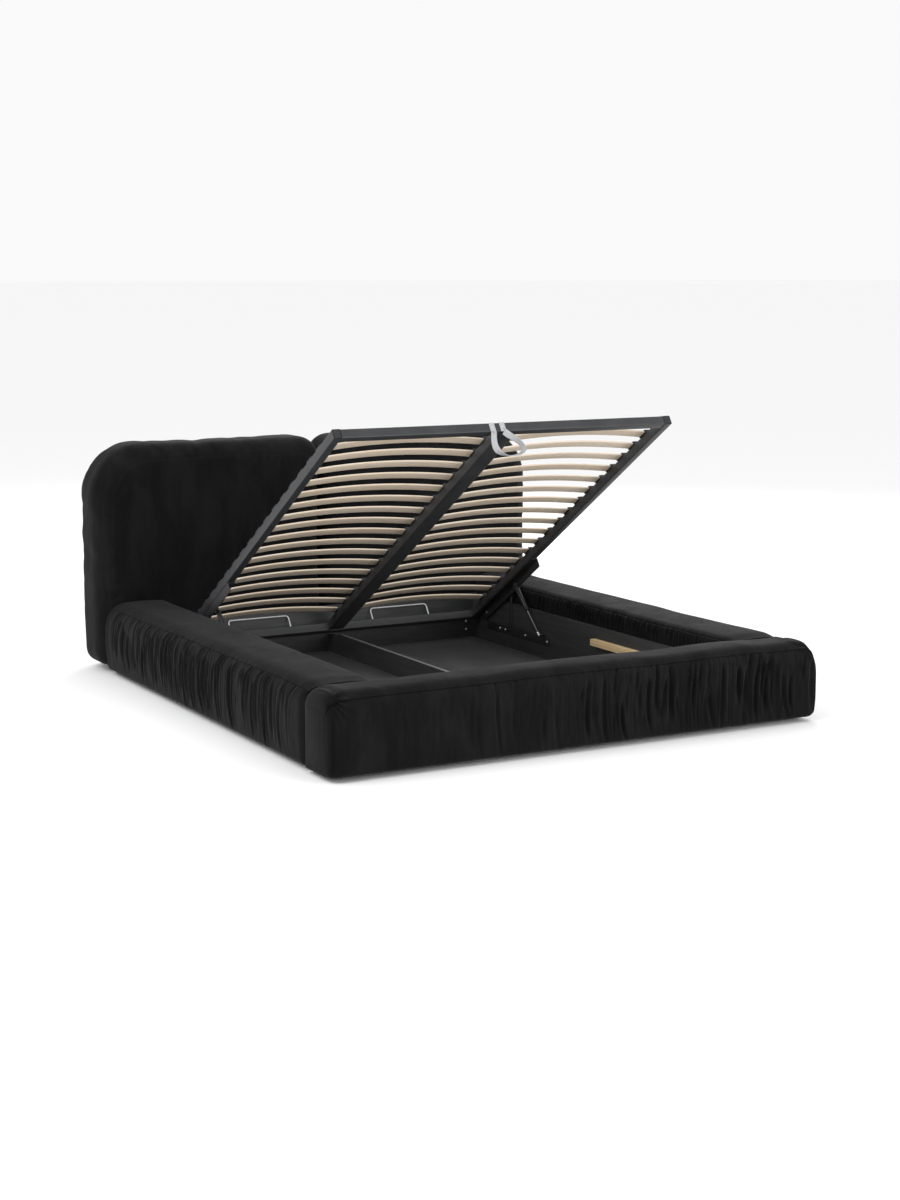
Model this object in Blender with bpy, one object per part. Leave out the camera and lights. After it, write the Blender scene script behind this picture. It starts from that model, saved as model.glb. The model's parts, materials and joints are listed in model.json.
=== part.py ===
"""Upholstered storage bed with a lift-up slatted platform, for a 160 x 200 cm mattress.

Frame: +X to the right seen from the foot, +Y towards the headboard, +Z up.
The origin is on the floor at the centre of the bed's outline.
Lengths along the bed are first given from the front of the foot rail, and along the
platform from its head end, where a reader can measure them on the real bed.
The platform stands open, as it does when something is put in the storage box.
"""
import math

import bmesh
import bpy
from mathutils import Matrix, Vector

# ---- overall -------------------------------------------------------------------------
PLATFORM_WIDTH = 1.586       # carries a mattress 1.6 m wide and 2 m long
PLATFORM_LENGTH = 2.000
HEADBOARD_HEIGHT = 1.048
HEADBOARD_DEPTH = 0.313
HEADBOARD_OVERHANG = 0.019   # beyond the side rails
FIT_GAP = 0.0003             # between pieces that touch
SOFT_GAP = 0.0015            # between a cushion and the piece that it is stretched over

# ---- rails -----------------------------------------------------------------------------
GLIDE_HEIGHT = 0.012
GLIDE_RADIUS = 0.025
GLIDE_INSET = 0.090
RAIL_HEIGHT = 0.337
SIDE_RAIL_DEPTH = 0.2947
FOOT_RAIL_DEPTH = 0.228
RAIL_CORE_THICKNESS = 0.110
RAIL_EDGE_RADIUS = 0.075     # upper outer edge of the padding
RAIL_INNER_RADIUS = 0.040
RAIL_FOOT_RADIUS = 0.022     # lower outer edge of the padding
RAIL_END_GAP = 0.004         # between the foot rail's padding and the side rails'

# ---- headboard -------------------------------------------------------------------------
HEAD_CORE_THICKNESS = 0.040
HEAD_CORE_MARGIN = 0.085     # padding beyond the core at the sides and the top
HEAD_CORNER_RADIUS = 0.220
HEAD_EDGE_RADIUS = 0.085     # roll from the front face to the sides
HEAD_CUSHION_GAP = 0.003     # between the two cushions
HEAD_CUSHION_LIFT = 0.018    # from the core's lower edge to the cushions'

# ---- storage box -----------------------------------------------------------------------
PANEL_THICKNESS = 0.016
PANEL_HEIGHT = 0.229
FLOOR_THICKNESS = 0.008
DIVIDER_THICKNESS = 0.016
DIVIDER_HEIGHT = 0.108
DIVIDER_CLEARANCE = 0.010    # to the head bar, which drops as the platform opens
BATTEN_WIDTH = 0.030
BATTEN_HEIGHT = 0.030
BATTEN_LENGTH = 0.960
BATTEN_TOP = 0.187           # above the floor

# ---- platform --------------------------------------------------------------------------
TUBE_WIDTH = 0.036
TUBE_HEIGHT = 0.040
TUBE_WALL = 0.002
CENTRE_TUBE_WIDTH = 0.080
PLATFORM_SIDE_GAP = 0.012    # from each side panel
PLATFORM_FOOT_GAP = 0.0562   # from the foot panel, when the platform is down
PLATFORM_REST_GAP = 0.001    # over the battens, when it is down
OPEN_ANGLE = 33.0            # degrees

SLAT_COUNT = 17
SLAT_WIDTH = 0.053
SLAT_THICKNESS = 0.008
SLAT_BOW = 0.024
SLAT_END_MARGIN = 0.172      # from each end of the platform to the middle of its last slat
SLAT_STEPS = 8
HOLDER_WIDTH = 0.060
HOLDER_HEIGHT = 0.016
HOLDER_OVERHANG = 0.012      # past the inner side of a tube

STOP_HEIGHT = 0.062          # wire mattress stops on the head bar
STOP_INNER = 0.220
STOP_OUTER = 0.530
STOP_WIRE_RADIUS = 0.003
STOP_BEND_RADIUS = 0.012
STOP_CLEARANCE = 0.00362     # from the stops to the head panel, which they tilt towards

STRAP_WIDTH = 0.025
STRAP_THICKNESS = 0.002
STRAP_OFFSET = -0.057        # of the anchor plate from the platform's middle
STRAP_SPREAD = 0.024         # half the distance between the strap's two ends
STRAP_DROP = 0.100           # of the loop below the foot bar
STRAP_LEAN = 0.250           # how far the stiff webbing swings out to the right
STRAP_TWIST = 75.0           # degrees, where the loop is turned most

# ---- lift hinges -----------------------------------------------------------------------
PLATE_THICKNESS = 0.004
PIVOT_FROM_HEAD = 0.130      # along the platform
PIVOT_DROP = 0.020           # below the tubes
PIVOT_PIN_RADIUS = 0.006
PIVOT_CLEARANCE = 0.0006
BRACKET_START = 0.090
BRACKET_END = 0.705
BRACKET_DROP = 0.045
BASE_REACH = 0.5705          # from the pivot towards the foot
BASE_DROP = 0.083            # from the pivot to the base plate's lower edge
BASE_WIDTH = 0.040
EAR_RADIUS = 0.016
LUG_RADIUS = 0.012
GUIDE_REACH = 0.2105         # upright that guides the platform as it comes down
GUIDE_WIDTH = 0.022
GUIDE_RISE = 0.114           # above the pivot

STRUT_REACH = 0.5255         # from the pivot to the strut's foot, towards the bed's foot
STRUT_FOOT_DROP = 0.031      # below the pivot
STRUT_TOP_ALONG = 0.480      # along the platform
STRUT_TOP_DROP = 0.030
STRUT_INSET = 0.021          # from the platform's side to the strut's middle
STRUT_RADIUS = 0.011
BORE_END_GAP = 0.004         # past the rod's end, when the strut is fully in
CYLINDER_END_WALL = 0.007
ROD_RADIUS = 0.005
ROD_CLEARANCE = 0.0005
ROD_IN_BODY = 0.012          # of rod inside the cylinder when the strut is fully out
EYE_RADIUS = 0.008
EYE_THICKNESS = 0.010
STUD_RADIUS = 0.004

# ---- places that follow ----------------------------------------------------------------
HALF_PLATFORM = PLATFORM_WIDTH / 2
HALF_BOX = HALF_PLATFORM + PLATFORM_SIDE_GAP
PANEL_TOP = GLIDE_HEIGHT + PANEL_HEIGHT
PADDING_INNER_X = HALF_BOX + PANEL_THICKNESS + FIT_GAP
HALF_SPAN = PADDING_INNER_X + SIDE_RAIL_DEPTH
HALF_HEADBOARD = HALF_SPAN + HEADBOARD_OVERHANG
FOOT_PANEL_OUTER = FOOT_RAIL_DEPTH + FIT_GAP
FOOT_PANEL_INNER = FOOT_PANEL_OUTER + PANEL_THICKNESS
PLATFORM_HEAD = FOOT_PANEL_INNER + PLATFORM_FOOT_GAP + PLATFORM_LENGTH
TILT = math.radians(OPEN_ANGLE)
STOP_TIP = (PIVOT_FROM_HEAD - TUBE_WIDTH / 2, PIVOT_DROP + TUBE_HEIGHT + STOP_HEIGHT)
STOP_SWING = min(TILT, math.atan2(STOP_TIP[1], STOP_TIP[0]))
STOP_REACH = STOP_TIP[0] * math.cos(STOP_SWING) + STOP_TIP[1] * math.sin(STOP_SWING) + STOP_WIRE_RADIUS
HEAD_PANEL_INNER = PLATFORM_HEAD - PIVOT_FROM_HEAD + STOP_REACH + STOP_CLEARANCE
HEAD_PANEL_OUTER = HEAD_PANEL_INNER + PANEL_THICKNESS
HEAD_FACE = HEAD_PANEL_OUTER + SOFT_GAP
BED_LENGTH = HEAD_FACE + HEADBOARD_DEPTH
SIDE_START = FOOT_RAIL_DEPTH + RAIL_END_GAP
SIDE_END = HEAD_FACE - SOFT_GAP
PLATFORM_UNDERSIDE = BATTEN_TOP + PLATFORM_REST_GAP
BRACKET_X = HALF_PLATFORM - PLATE_THICKNESS / 2
BASE_X = HALF_BOX - FIT_GAP - PLATE_THICKNESS
STRUT_X = HALF_PLATFORM - STRUT_INSET
UPPER_EYE_REACH = STRUT_RADIUS + FIT_GAP     # its stud ends where the cylinder can pass beside it


def along(distance):
    """World Y of a distance from the front of the foot rail."""
    return distance - BED_LENGTH / 2


PIVOT = Vector((0, along(PLATFORM_HEAD - PIVOT_FROM_HEAD), PLATFORM_UNDERSIDE - PIVOT_DROP))
STRUT_BOTTOM = PIVOT - Vector((0, STRUT_REACH, STRUT_FOOT_DROP))


def on_platform(x, s, n):
    """Point in the pivot's own frame: s from the head end, n above the tubes' underside."""
    return Vector((x, PIVOT_FROM_HEAD - s, n + PIVOT_DROP))


# ---- making pieces ---------------------------------------------------------------------
for old in list(bpy.data.objects):
    bpy.data.objects.remove(old, do_unlink=True)


def finish(name, colour, roughness, metallic=0.0):
    material = bpy.data.materials.new(name)
    material.use_nodes = True
    shader = material.node_tree.nodes["Principled BSDF"]
    shader.inputs["Base Color"].default_value = (*colour, 1.0)
    shader.inputs["Roughness"].default_value = roughness
    shader.inputs["Metallic"].default_value = metallic
    material.diffuse_color = (*colour, 1.0)
    return material


VELVET = finish("black_velvet", (0.012, 0.012, 0.013), 0.95)
CORE = finish("raw_chipboard", (0.42, 0.31, 0.20), 0.85)
BOARD = finish("dark_board", (0.018, 0.018, 0.019), 0.6)
FLOOR = finish("dark_floor_board", (0.045, 0.045, 0.048), 0.5)
PINE = finish("bare_pine", (0.55, 0.42, 0.25), 0.7)
BEECH = finish("beech_slat", (0.50, 0.39, 0.28), 0.55)
POWDER = finish("charcoal_powder_coat", (0.045, 0.045, 0.048), 0.55)
ZINC = finish("zinc_steel", (0.60, 0.60, 0.62), 0.35, 1.0)
STRUT_PAINT = finish("black_strut_paint", (0.02, 0.02, 0.02), 0.35)
PLASTIC = finish("black_plastic", (0.02, 0.02, 0.02), 0.5)
WEBBING = finish("grey_webbing", (0.36, 0.36, 0.38), 0.85)


def add_object(name, bm, material, parent=None, smooth=False):
    bmesh.ops.recalc_face_normals(bm, faces=bm.faces)
    mesh = bpy.data.meshes.new(name)
    bm.to_mesh(mesh)
    bm.free()
    mesh.materials.append(material)
    if smooth:
        mesh.shade_smooth()
        mesh.set_sharp_from_angle(angle=math.radians(35))
    piece = bpy.data.objects.new(name, mesh)
    bpy.context.scene.collection.objects.link(piece)
    piece.parent = parent
    return piece


def add_empty(name, location, tilt):
    empty = bpy.data.objects.new(name, None)
    empty.location = location
    empty.rotation_euler = (tilt, 0, 0)
    bpy.context.scene.collection.objects.link(empty)
    return empty


def box_mesh(bm, low, high):
    size = [b - a for a, b in zip(low, high)]
    middle = [(a + b) / 2 for a, b in zip(low, high)]
    bmesh.ops.create_cube(bm, size=1.0, matrix=Matrix.Translation(middle) @ Matrix.Diagonal((*size, 1)))


def add_box(name, low, high, material, parent=None):
    bm = bmesh.new()
    box_mesh(bm, [min(a, b) for a, b in zip(low, high)], [max(a, b) for a, b in zip(low, high)])
    return add_object(name, bm, material, parent)


def loft(bm, loops):
    """Close a skin over loops of equal length, with a face on the first and the last."""
    rings = [[bm.verts.new(point) for point in loop] for loop in loops]
    bm.faces.new(rings[0])
    bm.faces.new(rings[-1])
    count = len(rings[0])
    for lower, upper in zip(rings, rings[1:]):
        for i in range(count):
            j = (i + 1) % count
            bm.faces.new((lower[i], lower[j], upper[j], upper[i]))


def add_prism(name, outline, place, start, end, material, parent=None, smooth=False):
    """Outline of (a, b) pairs run from start to end; place(a, b, t) gives the point."""
    bm = bmesh.new()
    loft(bm, [[place(a, b, t) for a, b in outline] for t in (start, end)])
    return add_object(name, bm, material, parent, smooth)


def arc(centre, radius, from_deg, to_deg, steps=5):
    turns = [math.radians(from_deg + (to_deg - from_deg) * i / steps) for i in range(steps + 1)]
    return [(centre[0] + radius * math.cos(t), centre[1] + radius * math.sin(t)) for t in turns]


def disc(radius, sides=16):
    return [(radius * math.cos(math.tau * i / sides), radius * math.sin(math.tau * i / sides))
            for i in range(sides)]


def cut(piece, cutter):
    cutter.hide_render = True
    cutter.display_type = "WIRE"
    tool = piece.modifiers.new("cut", "BOOLEAN")
    tool.operation = "DIFFERENCE"
    tool.solver = "EXACT"
    tool.object = cutter


# ---- rails: chipboard core boxes under L-shaped padding ------------------------------------
def padding_outline(inner, outer, open_below):
    """Section of a rail's padding, a runs outwards; open below, it leaves the core's room free."""
    core_outer = inner + RAIL_CORE_THICKNESS + SOFT_GAP
    over_core = PANEL_TOP + SOFT_GAP
    outline = [(inner, over_core if open_below else GLIDE_HEIGHT)]
    outline += arc((inner + RAIL_INNER_RADIUS, RAIL_HEIGHT - RAIL_INNER_RADIUS),
                   RAIL_INNER_RADIUS, 180, 90)
    outline += arc((outer - RAIL_EDGE_RADIUS, RAIL_HEIGHT - RAIL_EDGE_RADIUS),
                   RAIL_EDGE_RADIUS, 90, 0)
    outline += arc((outer - RAIL_FOOT_RADIUS, GLIDE_HEIGHT + RAIL_FOOT_RADIUS),
                   RAIL_FOOT_RADIUS, 0, -90, 3)
    if open_below:
        outline += [(core_outer, GLIDE_HEIGHT), (core_outer, over_core)]
    return outline


def add_side_rail(side, name):
    core_inner = PADDING_INNER_X
    add_box(f"side_rail_core_{name}",
            (side * core_inner, along(SIDE_START), GLIDE_HEIGHT),
            (side * (core_inner + RAIL_CORE_THICKNESS), along(SIDE_END), PANEL_TOP), CORE)
    add_prism(f"side_rail_cushion_{name}", padding_outline(core_inner, HALF_SPAN, True),
              lambda a, b, t: (side * a, t, b), along(SIDE_START), along(SIDE_END), VELVET, smooth=True)


def add_foot_rail():
    """The foot rail's padding closes round the ends of its core, which is bare at the back."""
    core_reach = HALF_SPAN - RAIL_CORE_THICKNESS
    core_front = FOOT_RAIL_DEPTH - RAIL_CORE_THICKNESS
    add_box("foot_rail_core", (-core_reach, along(core_front), GLIDE_HEIGHT),
            (core_reach, along(FOOT_RAIL_DEPTH), PANEL_TOP), CORE)
    outline = padding_outline(0.0, FOOT_RAIL_DEPTH, False)
    roll = RAIL_FOOT_RADIUS
    middle = FOOT_RAIL_DEPTH / 2
    levels = [(HALF_SPAN, 1 - roll / middle), (HALF_SPAN - roll * 0.3, 1 - roll * 0.3 / middle),
              (HALF_SPAN - roll, 1.0)]
    levels += [(-x, scale) for x, scale in levels[::-1]]
    bm = bmesh.new()
    loft(bm, [[(x, along(middle + (middle - a) * scale), b) for a, b in outline] for x, scale in levels])
    cushion = add_object("foot_rail_cushion", bm, VELVET, smooth=True)
    pocket = add_box("foot_rail_pocket",
                     (-core_reach - SOFT_GAP, along(core_front - SOFT_GAP), -GLIDE_HEIGHT),
                     (core_reach + SOFT_GAP, along(FOOT_RAIL_DEPTH + GLIDE_HEIGHT), PANEL_TOP + SOFT_GAP),
                     VELVET)
    cut(cushion, pocket)


add_side_rail(-1, "left")
add_side_rail(1, "right")
add_foot_rail()


# ---- headboard: a timber core with two deep cushions side by side ---------------------------
def head_outline(inset):
    """Half of the headboard seen from the front, from its middle to its side, shrunk by inset."""
    inner = HEAD_CUSHION_GAP / 2 + inset
    outer = HALF_HEADBOARD - inset
    top = HEADBOARD_HEIGHT - inset
    bottom = GLIDE_HEIGHT + HEAD_CUSHION_LIFT + inset
    radius = HEAD_CORNER_RADIUS - inset * 0.5
    outline = [(inner, bottom), (outer, bottom)]
    outline += arc((outer - radius, top - radius), radius, 0, 90, 8)
    outline += [(inner, top)]
    return outline


def add_head_core(name, grow):
    """Headboard core with rounded top corners, or with grow the room that it takes."""
    reach = HALF_HEADBOARD - HEAD_CORE_MARGIN + grow
    top = HEADBOARD_HEIGHT - HEAD_CORE_MARGIN + grow
    radius = HEAD_CORNER_RADIUS - HEAD_CORE_MARGIN / 2
    right = arc((reach - radius, top - radius), radius, 0, 90, 6)
    outline = [(reach, GLIDE_HEIGHT - grow)] + right + [(-x, z) for x, z in right[::-1]]
    outline += [(-reach, GLIDE_HEIGHT - grow)]
    return add_prism(name, outline, lambda a, b, t: (a, t, b),
                     along(BED_LENGTH - HEAD_CORE_THICKNESS - grow), along(BED_LENGTH + 8 * grow), CORE)


def add_head_cushion(side, name):
    steps = 4
    roll = HEAD_EDGE_RADIUS
    levels = []
    for i in range(steps + 1):
        turn = math.radians(90 * i / steps)
        levels.append((HEAD_FACE + roll * (1 - math.sin(turn)), roll * (1 - math.cos(turn))))
    levels = levels[::-1] + [(BED_LENGTH - roll / 2, 0.0), (BED_LENGTH, roll / 2)]
    bm = bmesh.new()
    loft(bm, [[(side * a, along(y), b) for a, b in head_outline(inset)] for y, inset in levels])
    cushion = add_object(f"headboard_cushion_{name}", bm, VELVET, smooth=True)
    pocket = add_head_core(f"pocket_{name}", SOFT_GAP)
    cut(cushion, pocket)


add_head_cushion(-1, "left")
add_head_cushion(1, "right")
add_head_core("headboard_core", 0.0)

# ---- storage box ---------------------------------------------------------------------------
for side, name in ((-1, "left"), (1, "right")):
    add_box(f"box_side_panel_{name}",
            (side * HALF_BOX, along(FOOT_PANEL_OUTER), GLIDE_HEIGHT),
            (side * (HALF_BOX + PANEL_THICKNESS), along(HEAD_PANEL_OUTER), PANEL_TOP), BOARD)
    floor_inner = DIVIDER_THICKNESS / 2 + FIT_GAP
    add_box(f"floor_panel_{name}",
            (side * floor_inner, along(FOOT_PANEL_INNER + FIT_GAP), GLIDE_HEIGHT),
            (side * (HALF_BOX - FIT_GAP), along(HEAD_PANEL_INNER - FIT_GAP),
             GLIDE_HEIGHT + FLOOR_THICKNESS), FLOOR)
    batten_start = FOOT_PANEL_INNER + FIT_GAP
    add_box(f"support_batten_{name}",
            (side * (HALF_BOX - FIT_GAP - BATTEN_WIDTH), along(batten_start), BATTEN_TOP - BATTEN_HEIGHT),
            (side * (HALF_BOX - FIT_GAP), along(batten_start + BATTEN_LENGTH), BATTEN_TOP), PINE)

panel_reach = HALF_BOX - FIT_GAP
add_box("box_foot_panel", (-panel_reach, along(FOOT_PANEL_OUTER), GLIDE_HEIGHT),
        (panel_reach, along(FOOT_PANEL_INNER), PANEL_TOP), BOARD)
add_box("box_head_panel", (-panel_reach, along(HEAD_PANEL_INNER), GLIDE_HEIGHT),
        (panel_reach, along(HEAD_PANEL_OUTER), PANEL_TOP), BOARD)
# the divider's top is notched where the open platform's head bar comes down to it
divider_top = GLIDE_HEIGHT + DIVIDER_HEIGHT
bar_low = PIVOT.z + PIVOT_DROP * math.cos(TILT) - PIVOT_FROM_HEAD * math.sin(TILT)
bar_start = PLATFORM_HEAD - PIVOT_FROM_HEAD * (1 - math.cos(TILT)) - TUBE_WIDTH
notch_start = bar_start - DIVIDER_CLEARANCE
notch_top = min(divider_top, bar_low - DIVIDER_CLEARANCE)
divider_outline = [
    (FOOT_PANEL_INNER + FIT_GAP, GLIDE_HEIGHT), (HEAD_PANEL_INNER - FIT_GAP, GLIDE_HEIGHT),
    (HEAD_PANEL_INNER - FIT_GAP, notch_top), (notch_start, notch_top),
    (notch_start - DIVIDER_HEIGHT / 4, divider_top), (FOOT_PANEL_INNER + FIT_GAP, divider_top),
]
add_prism("box_divider", divider_outline, lambda a, b, t: (t, along(a), b),
          -DIVIDER_THICKNESS / 2, DIVIDER_THICKNESS / 2, BOARD)

# ---- glides under the rails and the headboard ------------------------------------------------
glide_places = {
    "glide_foot_left": (-HALF_SPAN + RAIL_CORE_THICKNESS + GLIDE_INSET,
                        FOOT_RAIL_DEPTH - RAIL_CORE_THICKNESS / 2),
    "glide_foot_right": (HALF_SPAN - RAIL_CORE_THICKNESS - GLIDE_INSET,
                         FOOT_RAIL_DEPTH - RAIL_CORE_THICKNESS / 2),
    "glide_head_left": (-PADDING_INNER_X - RAIL_CORE_THICKNESS / 2, SIDE_END - GLIDE_INSET),
    "glide_head_right": (PADDING_INNER_X + RAIL_CORE_THICKNESS / 2, SIDE_END - GLIDE_INSET),
    "glide_centre": (0.0, BED_LENGTH / 2),
}
for name, (x, y) in glide_places.items():
    add_prism(name, disc(GLIDE_RADIUS), lambda a, b, t, x=x, y=y: (x + a, along(y) + b, t),
              0.0, GLIDE_HEIGHT - FIT_GAP, PLASTIC, smooth=True)

# ---- platform frame: welded rectangular tube -------------------------------------------------
platform = add_empty("platform_pivot", PIVOT, -TILT)


def add_tube(name, lengthwise, middle, width, start, end):
    """Tube with open ends; lengthwise runs along the platform, otherwise across it."""
    bm = bmesh.new()

    def ring(offset, t):
        half = width / 2 - offset
        corners = [(-half, offset), (half, offset), (half, TUBE_HEIGHT - offset), (-half, TUBE_HEIGHT - offset)]
        if lengthwise:
            return [bm.verts.new(on_platform(middle + a, t, b)) for a, b in corners]
        return [bm.verts.new(on_platform(t, middle + a, b)) for a, b in corners]

    rings = [ring(0.0, start), ring(0.0, end), ring(TUBE_WALL, end), ring(TUBE_WALL, start)]
    for first, second in zip(rings, rings[1:] + rings[:1]):
        for i in range(4):
            j = (i + 1) % 4
            bm.faces.new((first[i], first[j], second[j], second[i]))
    add_object(name, bm, POWDER, platform)


side_middle = HALF_PLATFORM - TUBE_WIDTH / 2
between = HALF_PLATFORM - TUBE_WIDTH - FIT_GAP
add_tube("frame_side_left", True, -side_middle, TUBE_WIDTH, 0.0, PLATFORM_LENGTH)
add_tube("frame_side_right", True, side_middle, TUBE_WIDTH, 0.0, PLATFORM_LENGTH)
add_tube("frame_head_bar", False, TUBE_WIDTH / 2, TUBE_WIDTH, -between, between)
add_tube("frame_foot_bar", False, PLATFORM_LENGTH - TUBE_WIDTH / 2, TUBE_WIDTH, -between, between)
add_tube("frame_centre_tube", True, 0.0, CENTRE_TUBE_WIDTH, TUBE_WIDTH + FIT_GAP,
         PLATFORM_LENGTH - TUBE_WIDTH - FIT_GAP)


# ---- slats: each row is two bowed slats held in end holders and one double middle holder --------
def slat_row_sections():
    """Half-widths and heights across the platform, from the left to the right."""
    low = TUBE_HEIGHT + FIT_GAP
    seat = low + (HOLDER_HEIGHT - SLAT_THICKNESS) / 2
    outer = HALF_PLATFORM - FIT_GAP
    slat_outer = HALF_PLATFORM - TUBE_WIDTH - HOLDER_OVERHANG
    slat_inner = CENTRE_TUBE_WIDTH / 2 + HOLDER_OVERHANG

    def holder(x):
        return (x, HOLDER_WIDTH / 2, low, low + HOLDER_HEIGHT)

    def slat(x, start, end):
        u = (x - start) / (end - start)
        rise = SLAT_BOW * 4 * u * (1 - u)
        return (x, SLAT_WIDTH / 2, seat + rise, seat + rise + SLAT_THICKNESS)

    sections = [holder(-outer)]
    for start, end in ((-slat_outer, -slat_inner), (slat_inner, slat_outer)):
        sections.append(holder(start))
        sections += [slat(start + (end - start) * i / SLAT_STEPS, start, end) for i in range(SLAT_STEPS + 1)]
        sections.append(holder(end))
    sections.append(holder(outer))
    return sections


slat_pitch = (PLATFORM_LENGTH - 2 * SLAT_END_MARGIN) / (SLAT_COUNT - 1)
for row in range(SLAT_COUNT):
    s = SLAT_END_MARGIN + slat_pitch * row
    bm = bmesh.new()
    loft(bm, [[on_platform(x, s - half, low), on_platform(x, s + half, low),
               on_platform(x, s + half, high), on_platform(x, s - half, high)]
              for x, half, low, high in slat_row_sections()])
    add_object(f"slat_row_{row + 1:02d}", bm, BEECH, platform)


# ---- wire mattress stops on the head bar --------------------------------------------------------
def sweep_wire(points, radius, sides=6):
    """Loops of a round wire along points that lie in one plane across the platform."""
    loops = []
    for i, point in enumerate(points):
        before = points[max(i - 1, 0)]
        after = points[min(i + 1, len(points) - 1)]
        direction = (after - before).normalized()
        across = direction.cross(Vector((0, 1, 0))).normalized()
        loops.append([point + radius * (math.cos(math.tau * k / sides) * across
                                        + math.sin(math.tau * k / sides) * Vector((0, 1, 0)))
                      for k in range(sides)])
    return loops


for side, name in ((-1, "left"), (1, "right")):
    low = TUBE_HEIGHT + FIT_GAP
    top = TUBE_HEIGHT + STOP_HEIGHT
    bend = STOP_BEND_RADIUS
    flat = [(STOP_INNER, low)]
    flat += arc((STOP_INNER + bend, top - bend), bend, 180, 90, 3)
    flat += arc((STOP_OUTER - bend, top - bend), bend, 90, 0, 3)
    flat += [(STOP_OUTER, low)]
    bm = bmesh.new()
    loft(bm, sweep_wire([on_platform(side * a, TUBE_WIDTH / 2, b) for a, b in flat], STOP_WIRE_RADIUS))
    add_object(f"mattress_stop_{name}", bm, ZINC, platform, smooth=True)

# ---- pull strap: an anchor plate on the foot bar and a loop of webbing that hangs from it --------
foot_face = PLATFORM_LENGTH + FIT_GAP
anchor_reach = STRAP_SPREAD + STRAP_WIDTH / 2
add_box("strap_anchor", on_platform(STRAP_OFFSET - anchor_reach, foot_face, FIT_GAP),
        on_platform(STRAP_OFFSET + anchor_reach, foot_face + STRAP_THICKNESS, TUBE_HEIGHT), WEBBING, platform)

strap_turn = platform.matrix_basis.to_quaternion()
strap_head = PIVOT + strap_turn @ on_platform(
    STRAP_OFFSET, PLATFORM_LENGTH + 2 * FIT_GAP + STRAP_THICKNESS * 1.5, -STRAP_THICKNESS)
strap = add_empty("strap_swing", strap_head, 0.0)


def strap_loop():
    """Centre line of the hanging loop, and the direction across the webbing at each point."""
    steps = 18
    route = []
    for i in range(steps + 1):
        u = i / steps
        swing = math.sin(math.pi * u)
        x = -STRAP_SPREAD * math.cos(math.pi * u) + STRAP_LEAN * u ** 2 * swing
        z = -STRAP_DROP * max(swing, 0.0) ** 0.8
        twist = math.radians(STRAP_TWIST) * math.sin(math.pi * u ** 1.5)
        route.append((Vector((x, 0, z)), Vector((math.cos(twist), -math.sin(twist), 0))))
    return route


def ribbon_loops(route, width, thickness):
    loops = []
    for i, (point, side) in enumerate(route):
        before = route[max(i - 1, 0)][0]
        after = route[min(i + 1, len(route) - 1)][0]
        run = (after - before).normalized()
        side = (side - run * side.dot(run)).normalized()
        up = run.cross(side)
        loops.append([point + side * a * width / 2 + up * b * thickness / 2
                      for a, b in ((-1, -1), (1, -1), (1, 1), (-1, 1))])
    return loops


bm = bmesh.new()
loft(bm, ribbon_loops(strap_loop(), STRAP_WIDTH, STRAP_THICKNESS))
add_object("pull_strap", bm, WEBBING, strap)


# ---- lift hinges --------------------------------------------------------------------------------
def base_outline():
    """Base plate seen from inside the box: a bolted strip, a pivot ear, an upright and a stud lug."""
    y, z = PIVOT.y, PIVOT.z
    low = z - BASE_DROP
    high = low + BASE_WIDTH
    start = y - BASE_REACH
    guide_y = y - GUIDE_REACH
    guide = GUIDE_WIDTH / 2
    ear = EAR_RADIUS
    lug = LUG_RADIUS
    foot_y, foot_z = STRUT_BOTTOM.y, STRUT_BOTTOM.z
    return [
        (start, low), (y + ear, low), (y + ear, z + ear / 2), (y + ear / 2, z + ear), (y - ear / 2, z + ear),
        (y - ear, z + ear / 2), (y - ear, high), (guide_y + guide, high), (guide_y + guide, z + GUIDE_RISE),
        (guide_y - guide, z + GUIDE_RISE), (guide_y - guide, high), (foot_y + 2 * lug, high),
        (foot_y + lug, foot_z + lug), (foot_y - lug, foot_z + lug), (foot_y - 2 * lug, high), (start, high),
    ]


def strut_reach(angle):
    """Distance and tilt from the strut's foot to its top, with the platform open by angle."""
    top = PIVOT + Matrix.Rotation(-angle, 3, "X") @ on_platform(0, STRUT_TOP_ALONG, -STRUT_TOP_DROP)
    run = top - STRUT_BOTTOM
    return run.length, math.atan2(run.z, run.y)


strut_length, strut_angle = strut_reach(TILT)
closed_length = strut_reach(0.0)[0]
strut_stroke = strut_length - closed_length
strut_tilt = strut_angle - math.pi / 2
bore_depth = ROD_IN_BODY + strut_stroke + BORE_END_GAP
rod_visible = strut_length - EYE_RADIUS / 2 - CYLINDER_END_WALL - bore_depth


def add_stud(bm, side, middle_y, middle_z, start, end, radius=STUD_RADIUS, sides=12):
    loft(bm, [[(side * x, middle_y + a, middle_z + b) for a, b in disc(radius, sides)] for x in (start, end)])


def turned(bm, profile, sides=16):
    """Closed solid of revolution about Z from (radius, height) pairs; ends on the axis."""
    rings = []
    for radius, height in profile:
        if radius == 0:
            rings.append([bm.verts.new((0, 0, height))])
        else:
            rings.append([bm.verts.new((a, b, height)) for a, b in disc(radius, sides)])
    for previous, ring in zip(rings, rings[1:]):
        for i in range(sides):
            j = (i + 1) % sides
            if len(previous) == 1:
                bm.faces.new((previous[0], ring[j], ring[i]))
            elif len(ring) == 1:
                bm.faces.new((previous[i], previous[j], ring[0]))
            else:
                bm.faces.new((previous[i], previous[j], ring[j], ring[i]))


def add_union(target, name, build, parent):
    """Weld a second shape onto a piece with a Boolean union."""
    bm = bmesh.new()
    build(bm)
    extra = add_object(name, bm, target.data.materials[0], parent)
    extra.hide_render = True
    extra.display_type = "WIRE"
    tool = target.modifiers.new("weld", "BOOLEAN")
    tool.operation = "UNION"
    tool.solver = "EXACT"
    tool.object = extra


def add_eye(bm, height, start, end):
    loft(bm, [[(x, a, height + b) for a, b in disc(EYE_RADIUS)] for x in (start, end)])


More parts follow.
